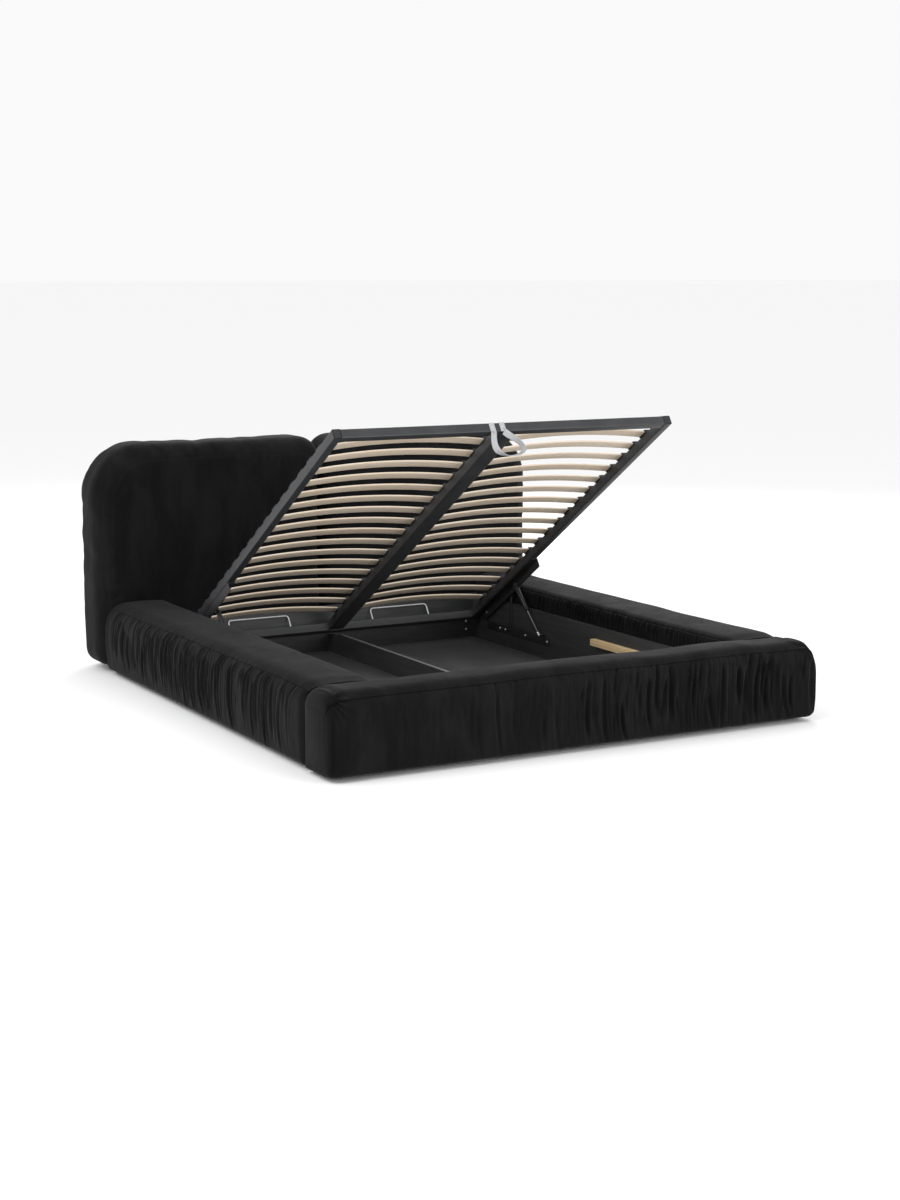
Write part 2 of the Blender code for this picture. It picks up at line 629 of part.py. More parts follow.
def add_hinge(side, name):
    # base plate on the side panel, with the stud that the strut's lower eye sits on
    base = add_prism(f"hinge_base_{name}", base_outline(), lambda a, b, t: (side * t, a, b),
                     BASE_X, BASE_X + PLATE_THICKNESS, POWDER)
    stud_end = STRUT_X + EYE_THICKNESS / 2 + FIT_GAP
    add_union(base, f"base_stud_{name}",
              lambda bm: add_stud(bm, side, STRUT_BOTTOM.y, STRUT_BOTTOM.z, stud_end, BASE_X + PLATE_THICKNESS / 2),
              None)
    # pivot pin, riveted to the base plate
    bm = bmesh.new()
    loft(bm, [[(side * x, PIVOT.y + a, PIVOT.z + b) for a, b in disc(PIVOT_PIN_RADIUS)]
              for x in (BRACKET_X - PLATE_THICKNESS, BASE_X - FIT_GAP)])
    add_object(f"pivot_pin_{name}", bm, ZINC, smooth=True)
    # angle bracket under the side tube
    web_out = BRACKET_X + PLATE_THICKNESS / 2
    web_in = web_out - PLATE_THICKNESS
    flange_in = HALF_PLATFORM - TUBE_WIDTH
    flange_low = -FIT_GAP - PLATE_THICKNESS
    section = [(flange_in, flange_low), (web_in, flange_low), (web_in, -BRACKET_DROP), (web_out, -BRACKET_DROP),
               (web_out, -FIT_GAP), (flange_in, -FIT_GAP)]
    bm = bmesh.new()
    loft(bm, [[on_platform(side * a, s, b) for a, b in section] for s in (BRACKET_START, BRACKET_END)])
    bracket = add_object(f"hinge_bracket_{name}", bm, POWDER, platform)
    top = on_platform(0, STRUT_TOP_ALONG, -STRUT_TOP_DROP)
    add_union(bracket, f"bracket_stud_{name}",
              lambda bm: add_stud(bm, side, top.y, top.z, STRUT_X + UPPER_EYE_REACH + FIT_GAP, web_in + PLATE_THICKNESS / 2), platform)
    bm = bmesh.new()
    hole = PIVOT_PIN_RADIUS + PIVOT_CLEARANCE
    loft(bm, [[(side * x, a, b) for a, b in disc(hole)] for x in (web_in - 0.01, web_out + 0.01)])
    cut(bracket, add_object(f"pivot_hole_{name}", bm, POWDER, platform))
    # gas strut: chromed rod on the base, painted cylinder up to the bracket
    rod_frame = add_empty(f"strut_axis_{name}", (side * STRUT_X, STRUT_BOTTOM.y, STRUT_BOTTOM.z), strut_tilt)
    bm = bmesh.new()
    turned(bm, [(0, EYE_RADIUS / 2), (ROD_RADIUS, EYE_RADIUS / 2), (ROD_RADIUS, rod_visible + ROD_IN_BODY),
                (0, rod_visible + ROD_IN_BODY)])
    rod = add_object(f"strut_rod_{name}", bm, ZINC, rod_frame, smooth=True)
    half_eye = EYE_THICKNESS / 2
    add_union(rod, f"rod_eye_{name}", lambda bm: add_eye(bm, 0.0, -half_eye, half_eye), rod_frame)
    bore = ROD_RADIUS + ROD_CLEARANCE
    bm = bmesh.new()
    bore_end = rod_visible + bore_depth
    turned(bm, [(0, bore_end), (bore, bore_end), (bore, rod_visible), (STRUT_RADIUS, rod_visible),
                (STRUT_RADIUS, bore_end + CYLINDER_END_WALL), (0, bore_end + CYLINDER_END_WALL)])
    cylinder = add_object(f"strut_cylinder_{name}", bm, STRUT_PAINT, rod_frame, smooth=True)
    add_union(cylinder, f"cylinder_eye_{name}", 
              lambda bm: add_eye(bm, strut_length, -side * half_eye, side * UPPER_EYE_REACH), rod_frame)


add_hinge(-1, "left")
add_hinge(1, "right")
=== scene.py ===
"""Looks of an upholstered storage bed whose slatted platform lifts on gas struts.

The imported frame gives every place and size. The platform stands open, as at rest.
Lengths are metres; +X is to the right seen from the foot, +Y towards the headboard.
"""
import json
import math

import bmesh
import bpy
import numpy as np
from mathutils import Matrix, Vector


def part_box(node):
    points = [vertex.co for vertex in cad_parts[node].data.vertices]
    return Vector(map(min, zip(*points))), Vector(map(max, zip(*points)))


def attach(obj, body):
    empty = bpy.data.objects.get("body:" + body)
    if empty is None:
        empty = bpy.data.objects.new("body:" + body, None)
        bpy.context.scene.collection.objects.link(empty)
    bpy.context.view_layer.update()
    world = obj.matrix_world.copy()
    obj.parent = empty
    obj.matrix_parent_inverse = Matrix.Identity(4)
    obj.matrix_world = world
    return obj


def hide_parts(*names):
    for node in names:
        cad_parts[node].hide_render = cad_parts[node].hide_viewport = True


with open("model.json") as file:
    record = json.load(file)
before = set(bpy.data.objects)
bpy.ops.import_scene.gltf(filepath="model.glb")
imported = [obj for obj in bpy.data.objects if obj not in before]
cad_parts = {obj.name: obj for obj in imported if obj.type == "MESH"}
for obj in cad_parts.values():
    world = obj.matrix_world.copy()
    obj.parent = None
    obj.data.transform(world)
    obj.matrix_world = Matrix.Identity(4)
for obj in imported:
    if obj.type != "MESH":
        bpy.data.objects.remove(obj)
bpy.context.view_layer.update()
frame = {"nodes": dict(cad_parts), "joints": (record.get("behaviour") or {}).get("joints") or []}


# ---- camera, floor and light ---------------------------------------------------------------------
# A plain pale studio: a white sweep, even light from all round, and three large soft lamps, on the
# left, in front and behind. The camera stands off the left front corner.
CAMERA_PLACE = (-4.212, -7.830, 1.835)
CAMERA_DOWN = 9.115
CAMERA_TURN = -28.94
CAMERA_LENS = 61.2
CAMERA_SENSOR = 36.0
FLOOR_REACH = 400.0
FLOOR_WHITE = (0.97, 0.97, 0.97, 1.0)


def linked(name, data):
    """A new object for some data, in the scene."""
    thing = bpy.data.objects.new(name, data)
    bpy.context.scene.collection.objects.link(thing)
    return thing


def mesh_from(name, bm):
    """A mesh from a finished bmesh, which is freed."""
    mesh = bpy.data.meshes.new(name)
    bm.to_mesh(mesh)
    bm.free()
    return mesh


camera_data = bpy.data.cameras.new("camera")
camera_data.sensor_fit = "VERTICAL"
camera_data.sensor_height = CAMERA_SENSOR
camera_data.lens = CAMERA_LENS
camera = linked("camera", camera_data)
camera.location = CAMERA_PLACE
camera.rotation_euler = (math.radians(90 - CAMERA_DOWN), 0, math.radians(CAMERA_TURN))
bpy.context.scene.camera = camera
bpy.context.scene.view_settings.view_transform = "Standard"

world = bpy.data.worlds.new("studio")
world.use_nodes = True
bpy.context.scene.world = world
sky = world.node_tree.nodes["Background"]
sky.inputs["Color"].default_value = (1.0, 1.0, 1.0, 1.0)
sky.inputs["Strength"].default_value = 0.95


def soft_lamp(name, place, aim, size, watts):
    data = bpy.data.lights.new(name, "AREA")
    data.size = size
    data.energy = watts
    lamp = linked(name, data)
    lamp.location = place
    lamp.rotation_euler = (Vector(aim) - Vector(place)).to_track_quat("-Z", "Y").to_euler()


soft_lamp("key_left", (-6.0, -1.5, 5.0), (0.0, 0.0, 0.4), 4.0, 250)
soft_lamp("fill_front", (2.2, -6.5, 1.3), (0.0, 0.0, 0.6), 3.0, 170)
soft_lamp("fill_back", (3.5, 5.0, 4.5), (0.0, 0.5, 0.5), 4.0, 160)

bm = bmesh.new()
bmesh.ops.create_grid(bm, x_segments=1, y_segments=1, size=FLOOR_REACH)
floor = linked("studio_floor", mesh_from("studio_floor", bm))
floor_paint = bpy.data.materials.new("studio_floor")
floor_paint.use_nodes = True
floor_skin = floor_paint.node_tree.nodes["Principled BSDF"].inputs
floor_skin["Base Color"].default_value = FLOOR_WHITE
floor_skin["Roughness"].default_value = 0.9
floor.data.materials.append(floor_paint)


# ---- side rail cushions --------------------------------------------------------------------------
# Deep foam bolsters over chipboard rails, in a black velvet cover. The cover's top panel is
# plain, with a seam along each edge, and the panels below the seams are gathered into upright
# folds that are closest together at the middle of the rail.
class Value:
    """A number that varies over a surface: sums on it add Math nodes."""

    def __init__(self, shade, socket):
        self.shade = shade
        self.socket = socket

    def combine(self, operation, *terms):
        node = self.shade.node("ShaderNodeMath", {"operation": operation}, dict(enumerate(terms)))
        return Value(self.shade, node.outputs[0])

    def __add__(self, other):
        return self.combine("ADD", self, other)

    def __radd__(self, other):
        return self.combine("ADD", other, self)

    def __sub__(self, other):
        return self.combine("SUBTRACT", self, other)

    def __rsub__(self, other):
        return self.combine("SUBTRACT", other, self)

    def __mul__(self, other):
        return self.combine("MULTIPLY", self, other)

    def __rmul__(self, other):
        return self.combine("MULTIPLY", other, self)

    def wave(self):
        return self.combine("SINE", self)

    def size(self):
        return self.combine("ABSOLUTE", self)

    def ease(self, low, high):
        """0 below low, 1 above high, smooth between."""
        node = self.shade.node("ShaderNodeMapRange", {"interpolation_type": "SMOOTHSTEP"},
                               {"Value": self, "From Min": low, "From Max": high})
        return Value(self.shade, node.outputs["Result"])


class Shade:
    """A material whose Principled shader takes plain numbers and nodes."""

    def __init__(self, name, **uniform):
        self.material = bpy.data.materials.new(name)
        self.material.use_nodes = True
        self.tree = self.material.node_tree
        self.skin = self.tree.nodes["Principled BSDF"]
        for socket, value in uniform.items():
            self.feed(self.skin.inputs[socket.replace("_", " ")], value)
        self.spot = self.node("ShaderNodeTexCoord").outputs["Object"]

    def feed(self, socket, value):
        if isinstance(value, Value):
            value = value.socket
        if isinstance(value, bpy.types.NodeSocket):
            self.tree.links.new(value, socket)
        elif socket.type == "RGBA":
            socket.default_value = (*value, 1.0)
        else:
            socket.default_value = value

    def node(self, kind, settings=None, inputs=None):
        node = self.tree.nodes.new(kind)
        for name, value in (settings or {}).items():
            setattr(node, name, value)
        for name, value in (inputs or {}).items():
            self.feed(node.inputs[name], value)
        return node

    def stretched(self, scale):
        """The spot on the piece, scaled along each axis."""
        return self.node("ShaderNodeMapping", {}, {"Vector": self.spot, "Scale": scale}).outputs[0]

    def grain(self, scale, detail=3.0, spot=None, distortion=0.0):
        node = self.node("ShaderNodeTexNoise", {}, {"Vector": spot or self.spot, "Scale": scale,
                                                    "Detail": detail, "Distortion": distortion})
        return Value(self, node.outputs["Fac"])

    def mark(self, name):
        """A number stored at the mesh's points."""
        return Value(self, self.node("ShaderNodeAttribute", {"attribute_name": name}).outputs["Fac"])

    def axis(self, index):
        return Value(self, self.node("ShaderNodeSeparateXYZ", {}, {"Vector": self.spot}).outputs[index])

    def between(self, factor, first, second):
        """A colour between two, by factor."""
        node = self.node("ShaderNodeMix", {"data_type": "RGBA"}, {0: factor, 6: first, 7: second})
        return node.outputs[2]

    def relief(self, height, depth):
        """Fine relief as a bump; a second call adds to the first."""
        before = [link.from_socket for link in self.skin.inputs["Normal"].links]
        inputs = {"Height": height, "Distance": depth, "Strength": 1.0}
        if before:
            inputs["Normal"] = before[0]
        node = self.node("ShaderNodeBump", {}, inputs)
        self.tree.links.new(node.outputs[0], self.skin.inputs["Normal"])

    def finish(self, colour, roughness, height, depth):
        """The finished material, from its colour, its roughness and its relief."""
        self.feed(self.skin.inputs["Base Color"], colour)
        self.feed(self.skin.inputs["Roughness"], roughness)
        self.relief(height, depth)
        return self.material


def velvet_material():
    """Short black pile that lies in patches, brushed up and down, paler where it is seen edge on."""
    shade = Shade("black_velvet", Sheen_Weight=0.065, Sheen_Roughness=0.38, Sheen_Tint=(0.75, 0.75, 0.78),
                  Specular_IOR_Level=0.12)
    nap = shade.grain(7.0, 4.0, shade.stretched((1.0, 1.0, 0.45)), 0.6)
    streak = shade.grain(46.0, 2.0, shade.stretched((1.0, 1.0, 0.12)))
    pile = shade.grain(900.0, 1.0)
    lay = nap.ease(0.36, 0.66) * 0.7 + streak.ease(0.30, 0.75) * 0.3
    # the "seam" mark darkens the cover along the sunken seam grooves: painted shade in the grooves
    seam = shade.mark("seam")
    plain = shade.between(lay, (0.0020, 0.0020, 0.0022), (0.0054, 0.0054, 0.0059))
    speckled = shade.between(pile.ease(0.35, 0.75) * 0.35, plain, (0.008, 0.008, 0.009))
    shade.relief(pile, 0.00035)
    crush = shade.grain(38.0, 3.0, shade.stretched((1.0, 1.0, 0.5)), 0.4)
    return shade.finish(shade.between(seam * 0.85, speckled, (0.0010, 0.0010, 0.0010)), 0.92 - lay * 0.14,
                        crush, 0.0011)


VELVET = velvet_material()


def new_piece(name, bm, material, body, replaced=(), smooth_angle=40.0):
    """Link a finished bmesh as a piece that rides on a body and takes the given material."""
    mesh = mesh_from(name, bm)
    mesh.materials.append(material)
    mesh.shade_smooth()
    mesh.set_sharp_from_angle(angle=math.radians(smooth_angle))
    piece = linked(name, mesh)
    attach(piece, body)
    if replaced:
        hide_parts(*replaced)
    return piece


def arc(centre, radius, from_deg, to_deg, steps=8):
    turns = [math.radians(from_deg + (to_deg - from_deg) * i / steps) for i in range(steps + 1)]
    return [(centre[0] + radius * math.cos(t), centre[1] + radius * math.sin(t)) for t in turns]


cushion_low, cushion_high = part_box("side_rail_cushion_left")
core_low, core_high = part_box("side_rail_core_left")
RAIL_TOP = cushion_high.z
RAIL_FOOT = cushion_low.z
BOARD_TOP = core_high.z
CORE_THICKNESS = core_high.x - core_low.x
COVER_GAP = 0.0015           # between the cover and the board that it is stretched over
INNER_ROLL = 0.040
OUTER_ROLL = 0.078
FOOT_ROLL = 0.030
SEAM_INNER = 0.42            # share of the inner roll below the seam
SEAM_OUTER = 0.52            # share of the outer roll above the seam
RAIL_STEP = 0.0042           # of a cover's mesh along its rail
SECTION_STEP = 0.0075        # of a cover's mesh round its section
SEAM_STEP = 0.0014           # the same within SEAM_REACH of a seam
SEAM_REACH = 0.005
GROOVE_WIDTH = 0.0022
GROOVE_DEPTH = 0.0050
TOP_CROWN = 0.0075           # of the top panel's middle over its edges
TOP_SET = 0.0045             # of the top panel's edges below the plain section
FACE_BELLY = 0.009
FACE_SET = 0.006
HEM = 0.05                   # past the outer face's lower edge, where the gathers die out
BROAD_FOLDS = (0.045, 0.0120)    # spacing and depth of the outer face's gathers
SMALL_FOLDS = (0.023, 0.0042)
INNER_FOLDS = (0.036, 0.0075)
SIDE_BOW = 0.030             # how far a side rail's gathers curve along it
FOOT_BOW = -0.026
ALL_SMOOTH = 180.0


def rail_section(depth):
    """Section of a rail's padding round its board, from the board's inner edge over the top.

    The first value runs outwards from the padding's inner face, the second upwards. The places
    of the two seams are lengths along the section from its start.
    """
    shelf = BOARD_TOP + COVER_GAP
    wall = CORE_THICKNESS + COVER_GAP
    inner = [(0.0, shelf)] + arc((INNER_ROLL, RAIL_TOP - INNER_ROLL), INNER_ROLL, 180, 90)
    outer = arc((depth - OUTER_ROLL, RAIL_TOP - OUTER_ROLL), OUTER_ROLL, 90, 0)
    foot = arc((depth - FOOT_ROLL, RAIL_FOOT + FOOT_ROLL), FOOT_ROLL, 0, -90, 5)
    straight = (RAIL_TOP - INNER_ROLL) - shelf
    top_panel = depth - INNER_ROLL - OUTER_ROLL
    inner_turn, outer_turn = INNER_ROLL * math.pi / 2, OUTER_ROLL * math.pi / 2
    first_seam = straight + inner_turn * SEAM_INNER
    second_seam = straight + inner_turn + top_panel + outer_turn * SEAM_OUTER
    return inner + outer + foot + [(wall, RAIL_FOOT), (wall, shelf)], (first_seam, second_seam)


def evenly(outline, seams):
    """Points along a closed outline, closer together within reach of a seam, with their normals."""
    corners = np.array(outline + outline[:1])
    lengths = np.r_[0, np.cumsum(np.linalg.norm(np.diff(corners, axis=0), axis=1))]
    girth = [0.0]
    while girth[-1] < lengths[-1] - SECTION_STEP * 0.6:
        near = min(abs(girth[-1] - seam) for seam in seams)
        step = SEAM_STEP if near < SEAM_REACH else min(SECTION_STEP, max(SEAM_STEP, near - SEAM_REACH))
        girth.append(girth[-1] + step)
    girth = np.array(girth[:-1] if lengths[-1] - girth[-1] < SEAM_STEP else girth)
    points = np.stack([np.interp(girth, lengths, corners[:, k]) for k in range(2)], 1)
    ahead = np.roll(points, -1, 0) - np.roll(points, 1, 0)
    normals = np.stack([-ahead[:, 1], ahead[:, 0]], 1)
    return girth, points, normals / np.linalg.norm(normals, axis=1)[:, None]


def run_section(outline, seams, length):
    """Run a section along its rail: x outwards, y along, z up, with the girth kept at each point."""
    girth, points, normals = evenly(outline, seams)
    around, steps = len(girth), round(length / RAIL_STEP)
    bm = bmesh.new()
    bmesh.ops.create_grid(bm, x_segments=around, y_segments=steps, size=0.5)
    kept = [bm.verts.layers.float.new(name) for name in ("girth", "out", "up")]
    for vert in bm.verts:
        i = round((vert.co.x + 0.5) * around) % around
        for layer, value in zip(kept, (girth[i], *normals[i])):
            vert[layer] = value
        vert.co = (points[i][0], (vert.co.y + 0.5) * length, points[i][1])
    bmesh.ops.remove_doubles(bm, verts=[vert for vert in bm.verts if vert.is_boundary], dist=1e-6)
    bmesh.ops.holes_fill(bm, edges=[edge for edge in bm.edges if edge.is_boundary], sides=0)
    bmesh.ops.recalc_face_normals(bm, faces=bm.faces)
    return bm


def kept_values(bm, name):
    layer = bm.verts.layers.float[name]
    return np.array([vert[layer] for vert in bm.verts])


def ease(value, low, high):
    share = np.clip((value - low) / (high - low), 0.0, 1.0)
    return share * share * (3 - 2 * share)


def bell(value, middle, width):
    """1 at the middle, and next to nothing two widths away."""
    return np.exp(-((value - middle) / width) ** 2)


def rolled(distance, radius):
    """How far a rounded edge has fallen away, at a distance in from it."""
    inside = np.clip(radius - distance, 0, radius)
    return radius - np.sqrt(radius ** 2 - inside ** 2)


def soft_noise(rng, length, spacing):
    """A smooth random line: a function of place, about one unit high."""
    knots = rng.normal(0.0, 1.0, int(length / spacing) + 4)

    def height(place):
        x = np.clip(place / spacing + 1, 0, len(knots) - 1.001)
        base = x.astype(int)
        share = x - base
        share = share * share * (3 - 2 * share)
        return knots[base] * (1 - share) + knots[base + 1] * share

    return height


def gathers(rng, place, down, length, spacing, depth, bow, crowding):
    """Height of upright gathers: down runs from 0 at the seam to 1 at the lower edge."""
    height = np.zeros_like(place)
    at = 0.0
    while at < length:
        share = at / length
        crowd = crowding(share)
        at += spacing * rng.uniform(0.55, 1.35) / max(crowd, 0.25)
        strength = depth * rng.uniform(0.45, 1.15) * crowd ** 0.8
        width = spacing * rng.uniform(0.13, 0.24)
        top = rng.uniform(-0.10, 0.14) if rng.random() < 0.75 else rng.uniform(0.15, 0.45)
        bottom = rng.uniform(0.72, 1.08) if rng.random() < 0.7 else rng.uniform(0.35, 0.7)
        lean = spacing * rng.normal(0.0, 0.35)
        curve = bow * rng.uniform(0.5, 1.4)
        middle = at + lean * (down - 0.5) + curve * (1 - 4 * (down - 0.5) ** 2)
        fade = ease(down, top, top + 0.14) * (1 - ease(down, bottom - 0.30, bottom))
        offset = (place - middle) / width
        height += strength * fade * (0.40 * bell(np.abs(offset), 1.9, 1.1) - bell(offset, 0, 1))
    return height


def seam_groove(girth, seams, width=GROOVE_WIDTH):
    return sum(bell(girth, seam, width) for seam in seams)


def dress_rail(bm, seams, length, rng, bow, crowding, ends):
    """Shape a run of padding: crowned panels, gathers under the seams, grooves and rounded ends.

    ends gives, for its start and for its end, the radius that rounds off the top and the outer face.
    """
    place = np.array([vert.co for vert in bm.verts])
    girth, out, up = (kept_values(bm, name) for name in ("girth", "out", "up"))
    a, t, b = place.T
    inner_seam, outer_seam = seams
    face_foot = outer_seam + OUTER_ROLL * 0.8 + (RAIL_TOP - RAIL_FOOT - OUTER_ROLL)
    outer_face = ease(girth, outer_seam, outer_seam + 0.004) * (1 - ease(girth, face_foot, face_foot + HEM))
    inner_face = 1 - ease(girth, inner_seam - 0.004, inner_seam)
    inner_face *= ease(girth, 0.0, 0.010) * (girth < inner_seam)
    top_panel = (girth > inner_seam) & (girth < outer_seam)
    padding = girth < face_foot + HEM
    down = (girth - outer_seam) / (face_foot - outer_seam)
    reach_down = np.clip(down, -0.2, 1.2)
    folds = gathers(rng, t, reach_down, length, *BROAD_FOLDS, bow, crowding)
    folds += gathers(rng, t, reach_down, length, *SMALL_FOLDS, bow * 0.6, crowding)
    inner_down = (inner_seam - girth) / inner_seam
    inner_folds = gathers(rng, t, np.clip(inner_down, 0, 1), length, *INNER_FOLDS, 0.004, crowding)
    push = folds * outer_face + inner_folds * inner_face
    across = np.clip((girth - inner_seam) / (outer_seam - inner_seam), 0, 1)
    push += np.where(top_panel, TOP_CROWN * np.sin(math.pi * across) - TOP_SET, 0.0)
    swell = soft_noise(rng, length, 0.17)
    sway = soft_noise(rng, length, 0.11)
    push += np.where(top_panel, 0.0016 * swell(t) * np.sin(math.pi * across), 0.0)
    belly = np.sin(math.pi * np.clip(down, 0, 1))
    push += outer_face * (FACE_BELLY * belly - FACE_SET + 0.0022 * sway(t) * belly)
    push -= GROOVE_DEPTH * seam_groove(girth, seams)
    pucker = soft_noise(rng, length, 0.016)
    push += 0.0011 * pucker(t) * seam_groove(girth, seams, 0.011) * crowding(np.clip(t / length, 0, 1))
    push = np.where(padding, push, 0.0)
    for distance, (over, outside) in ((t, ends[0]), (length - t, ends[1])):
        push -= np.where(padding, rolled(distance, over + (outside - over) * outer_face), 0.0)
    wobble = soft_noise(rng, length, 0.30)
    b_shift = np.where(padding & (b > BOARD_TOP), 0.0022 * wobble(t), 0.0)
    place = np.stack([a + out * push, t, b + up * push + b_shift], 1)
    # the second value marks the seam grooves, where the velvet is painted darker as their shade
    return place, seam_groove(girth, seams, 0.0021)


def set_places(bm, place):
    for vert, spot in zip(bm.verts, place):
        vert.co = spot


def set_mark(mesh, name, values):
    attribute = mesh.attributes.new(name, "FLOAT", "POINT")
    attribute.data.foreach_set("value", np.asarray(values, np.float32))


HEAD_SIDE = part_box("headboard_cushion_right")[1].x
HEAD_ROLL = 0.100            # of the headboard's side, round which the side rails' ends are pressed
END_SINK = 0.010             # of the rails' top where it is tucked against the foot rail
RAIL_PRESS = 0.0035          # clearance of the rails' ends from the headboard


def middle_crowded(share):
    """Gathers are close together along the middle of a rail and die out at its ends."""
    return 0.30 + 0.80 * np.sin(math.pi * np.clip(share, 0, 1)) ** 0.6


for side, name in ((-1, "left"), (1, "right")):
    low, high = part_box(f"side_rail_cushion_{name}")
    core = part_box(f"side_rail_core_{name}")
    inner_x = min(abs(core[0].x), abs(core[1].x))
    depth = max(abs(low.x), abs(high.x)) - inner_x
    length = high.y - low.y
    rng = np.random.default_rng(11 if side < 0 else 12)
    outline, seams = rail_section(depth)
    bm = run_section(outline, seams, length)
    place, mark = dress_rail(bm, seams, length, rng, SIDE_BOW, middle_crowded,
                             ((0.005, 0.040), (0.014, 0.014)))
    # the outer corner of the head end is pressed round the headboard's rounded edge
    x = inner_x + place[:, 0]
    beyond = np.clip((x - (HEAD_SIDE - HEAD_ROLL)) / HEAD_ROLL, 0, 0.98)
    press = HEAD_ROLL * (1 - np.sqrt(1 - beyond ** 2)) - RAIL_PRESS
    place[:, 1] += press * ease(place[:, 1], length - 0.25, length)
    # the other end's top is pressed down the foot rail's inner roll
    above = np.clip((place[:, 2] - (RAIL_TOP - INNER_ROLL)) / INNER_ROLL, 0, 0.93)
    press = INNER_ROLL * (1 - np.sqrt(1 - above ** 2))
    sink = END_SINK * (1 - ease(place[:, 1], 0.0, 0.08)) * ease(place[:, 2], RAIL_TOP - 0.06, RAIL_TOP)
    place[:, 1] -= press * (1 - ease(place[:, 1], 0.0, 0.22))
    place[:, 2] -= sink
    set_places(bm, np.stack([side * x, low.y + place[:, 1], place[:, 2]], 1))
    bmesh.ops.recalc_face_normals(bm, faces=bm.faces)
    cushion = new_piece(f"side_rail_cover_{name}", bm, VELVET, "root",
                        [f"side_rail_cushion_{name}"], ALL_SMOOTH)
    # the seam grooves are marked for the velvet's painted shade
    set_mark(cushion.data, "seam", mark)


# ---- foot rail cushion ---------------------------------------------------------------------------
# The bolster across the foot. Its cover closes round both ends, with an upright seam at each
# front corner, and pinched gathers where the top panel's corner is turned.
CORNER_SEAM = 0.016          # from the end to the upright seam
END_ROLL = 0.034
END_SHRINK = 0.62            # share of the roll by which the ends' section is drawn in
TOP_DROOP = 0.095
PINCHES = 17.0               # radians of ripple to one of bearing, in the fan at a corner


def far_crowded(share):
    """The gathers are closest right of the middle, and the left end is almost smooth."""
    share = np.clip(share, 0, 1)
    crowded = 0.75 * ease(share, 0.28, 0.55) * (1 - 0.7 * ease(share, 0.90, 0.99))
    return 0.32 + crowded + 0.20 * ease(share, 0.10, 0.25)


def block(low, high):
    """A plain block between two corners."""
    centre = [(a + b) / 2 for a, b in zip(low, high)]
    size = [b - a for a, b in zip(low, high)]
    bm = bmesh.new()
    bmesh.ops.create_cube(bm, size=1.0, matrix=Matrix.Translation(centre) @ Matrix.Diagonal((*size, 1)))
    return bm


def apply_modifiers(piece):
    mesh = bpy.data.meshes.new_from_object(piece.evaluated_get(bpy.context.evaluated_depsgraph_get()))
    piece.modifiers.clear()
    piece.data = mesh


def carved(piece, low, high):
    """Cut a block of room out of a piece, with an exact Boolean that is applied."""
    room = linked("room", mesh_from("room", block(low, high)))
    tool = piece.modifiers.new("room", "BOOLEAN")
    tool.object = room
    tool.operation = "DIFFERENCE"
    bpy.context.view_layer.update()
    apply_modifiers(piece)
    bpy.data.objects.remove(room)


def foot_section(depth):
    """The same section as a side rail's, closed at the bottom, where the board goes in later."""
    outline, seams = rail_section(depth)
    return [(0.0, RAIL_FOOT)] + outline[:-2], [seam + BOARD_TOP + COVER_GAP - RAIL_FOOT for seam in seams]


low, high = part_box("foot_rail_cushion")
core_low, core_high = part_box("foot_rail_core")
depth, length = high.y - low.y, high.x - low.x
outline, seams = foot_section(depth)
bm = run_section(outline, seams, length)
rng = np.random.default_rng(21)
shelf_up = BOARD_TOP + COVER_GAP - RAIL_FOOT
layer = bm.verts.layers.float["girth"]
for vert in bm.verts:
    vert[layer] = vert[layer] - shelf_up
place, mark = dress_rail(bm, [seam - shelf_up for seam in seams], length, rng, FOOT_BOW, far_crowded,
                         ((0.004, 0.004), (0.004, 0.004)))
# both ends roll in from every side, as the cover is drawn round the foam
t = np.array([vert.co.y for vert in bm.verts])
to_end = np.minimum(t, length - t)
inset = END_SHRINK * rolled(to_end, END_ROLL)
a_mid, b_mid = depth / 2, (RAIL_FOOT + RAIL_TOP) / 2
shrink_a = 1 - inset / a_mid
shrink_b = 1 - inset / (RAIL_TOP - b_mid)
place[:, 0] = a_mid + (place[:, 0] - a_mid) * shrink_a
place[:, 2] = b_mid + (place[:, 2] - b_mid) * shrink_b
# and the top corners droop in a wider curve
place[:, 2] -= 0.45 * rolled(to_end, TOP_DROOP) * ease(place[:, 2], b_mid, RAIL_TOP)
# upright seams near the front corners, and the pinches that fan out from the panel's corners
front = ease(place[:, 0], depth * 0.6, depth * 0.9)
for middle, turn in ((CORNER_SEAM, 1), (length - CORNER_SEAM, -1)):
    upright = bell(t, middle, 0.0042) * front * ease(place[:, 2], RAIL_FOOT + 0.02, RAIL_FOOT + 0.05)
    place[:, 0] -= 0.0055 * upright
    corner_z = RAIL_TOP - 0.026
    away = np.hypot(t - middle, place[:, 2] - corner_z)
    bearing = np.arctan2(corner_z - place[:, 2], turn * (t - middle))
    fan = np.sin(bearing * PINCHES + 0.6) * bell(away, 0.034, 0.050) * ease(away, 0.004, 0.02)
    place[:, 0] += 0.0065 * fan * front
    place[:, 2] += 0.0034 * fan * ease(place[:, 2], RAIL_TOP - 0.05, RAIL_TOP)
    # the upright seams join the mark, so the velvet is painted darker in their grooves as shade
    mark = np.maximum(mark, 0.9 * bell(t, middle, 0.0032) * front)
set_places(bm, np.stack([low.x + place[:, 1], high.y - place[:, 0], place[:, 2]], 1))
bmesh.ops.recalc_face_normals(bm, faces=bm.faces)
foot_cover = new_piece("foot_rail_cover", bm, VELVET, "root", ["foot_rail_cushion"], ALL_SMOOTH)
set_mark(foot_cover.data, "seam", mark)
carved(foot_cover, (core_low.x - COVER_GAP, core_low.y - COVER_GAP, -RAIL_FOOT),
       (core_high.x + COVER_GAP, high.y + RAIL_FOOT, core_high.z + COVER_GAP))


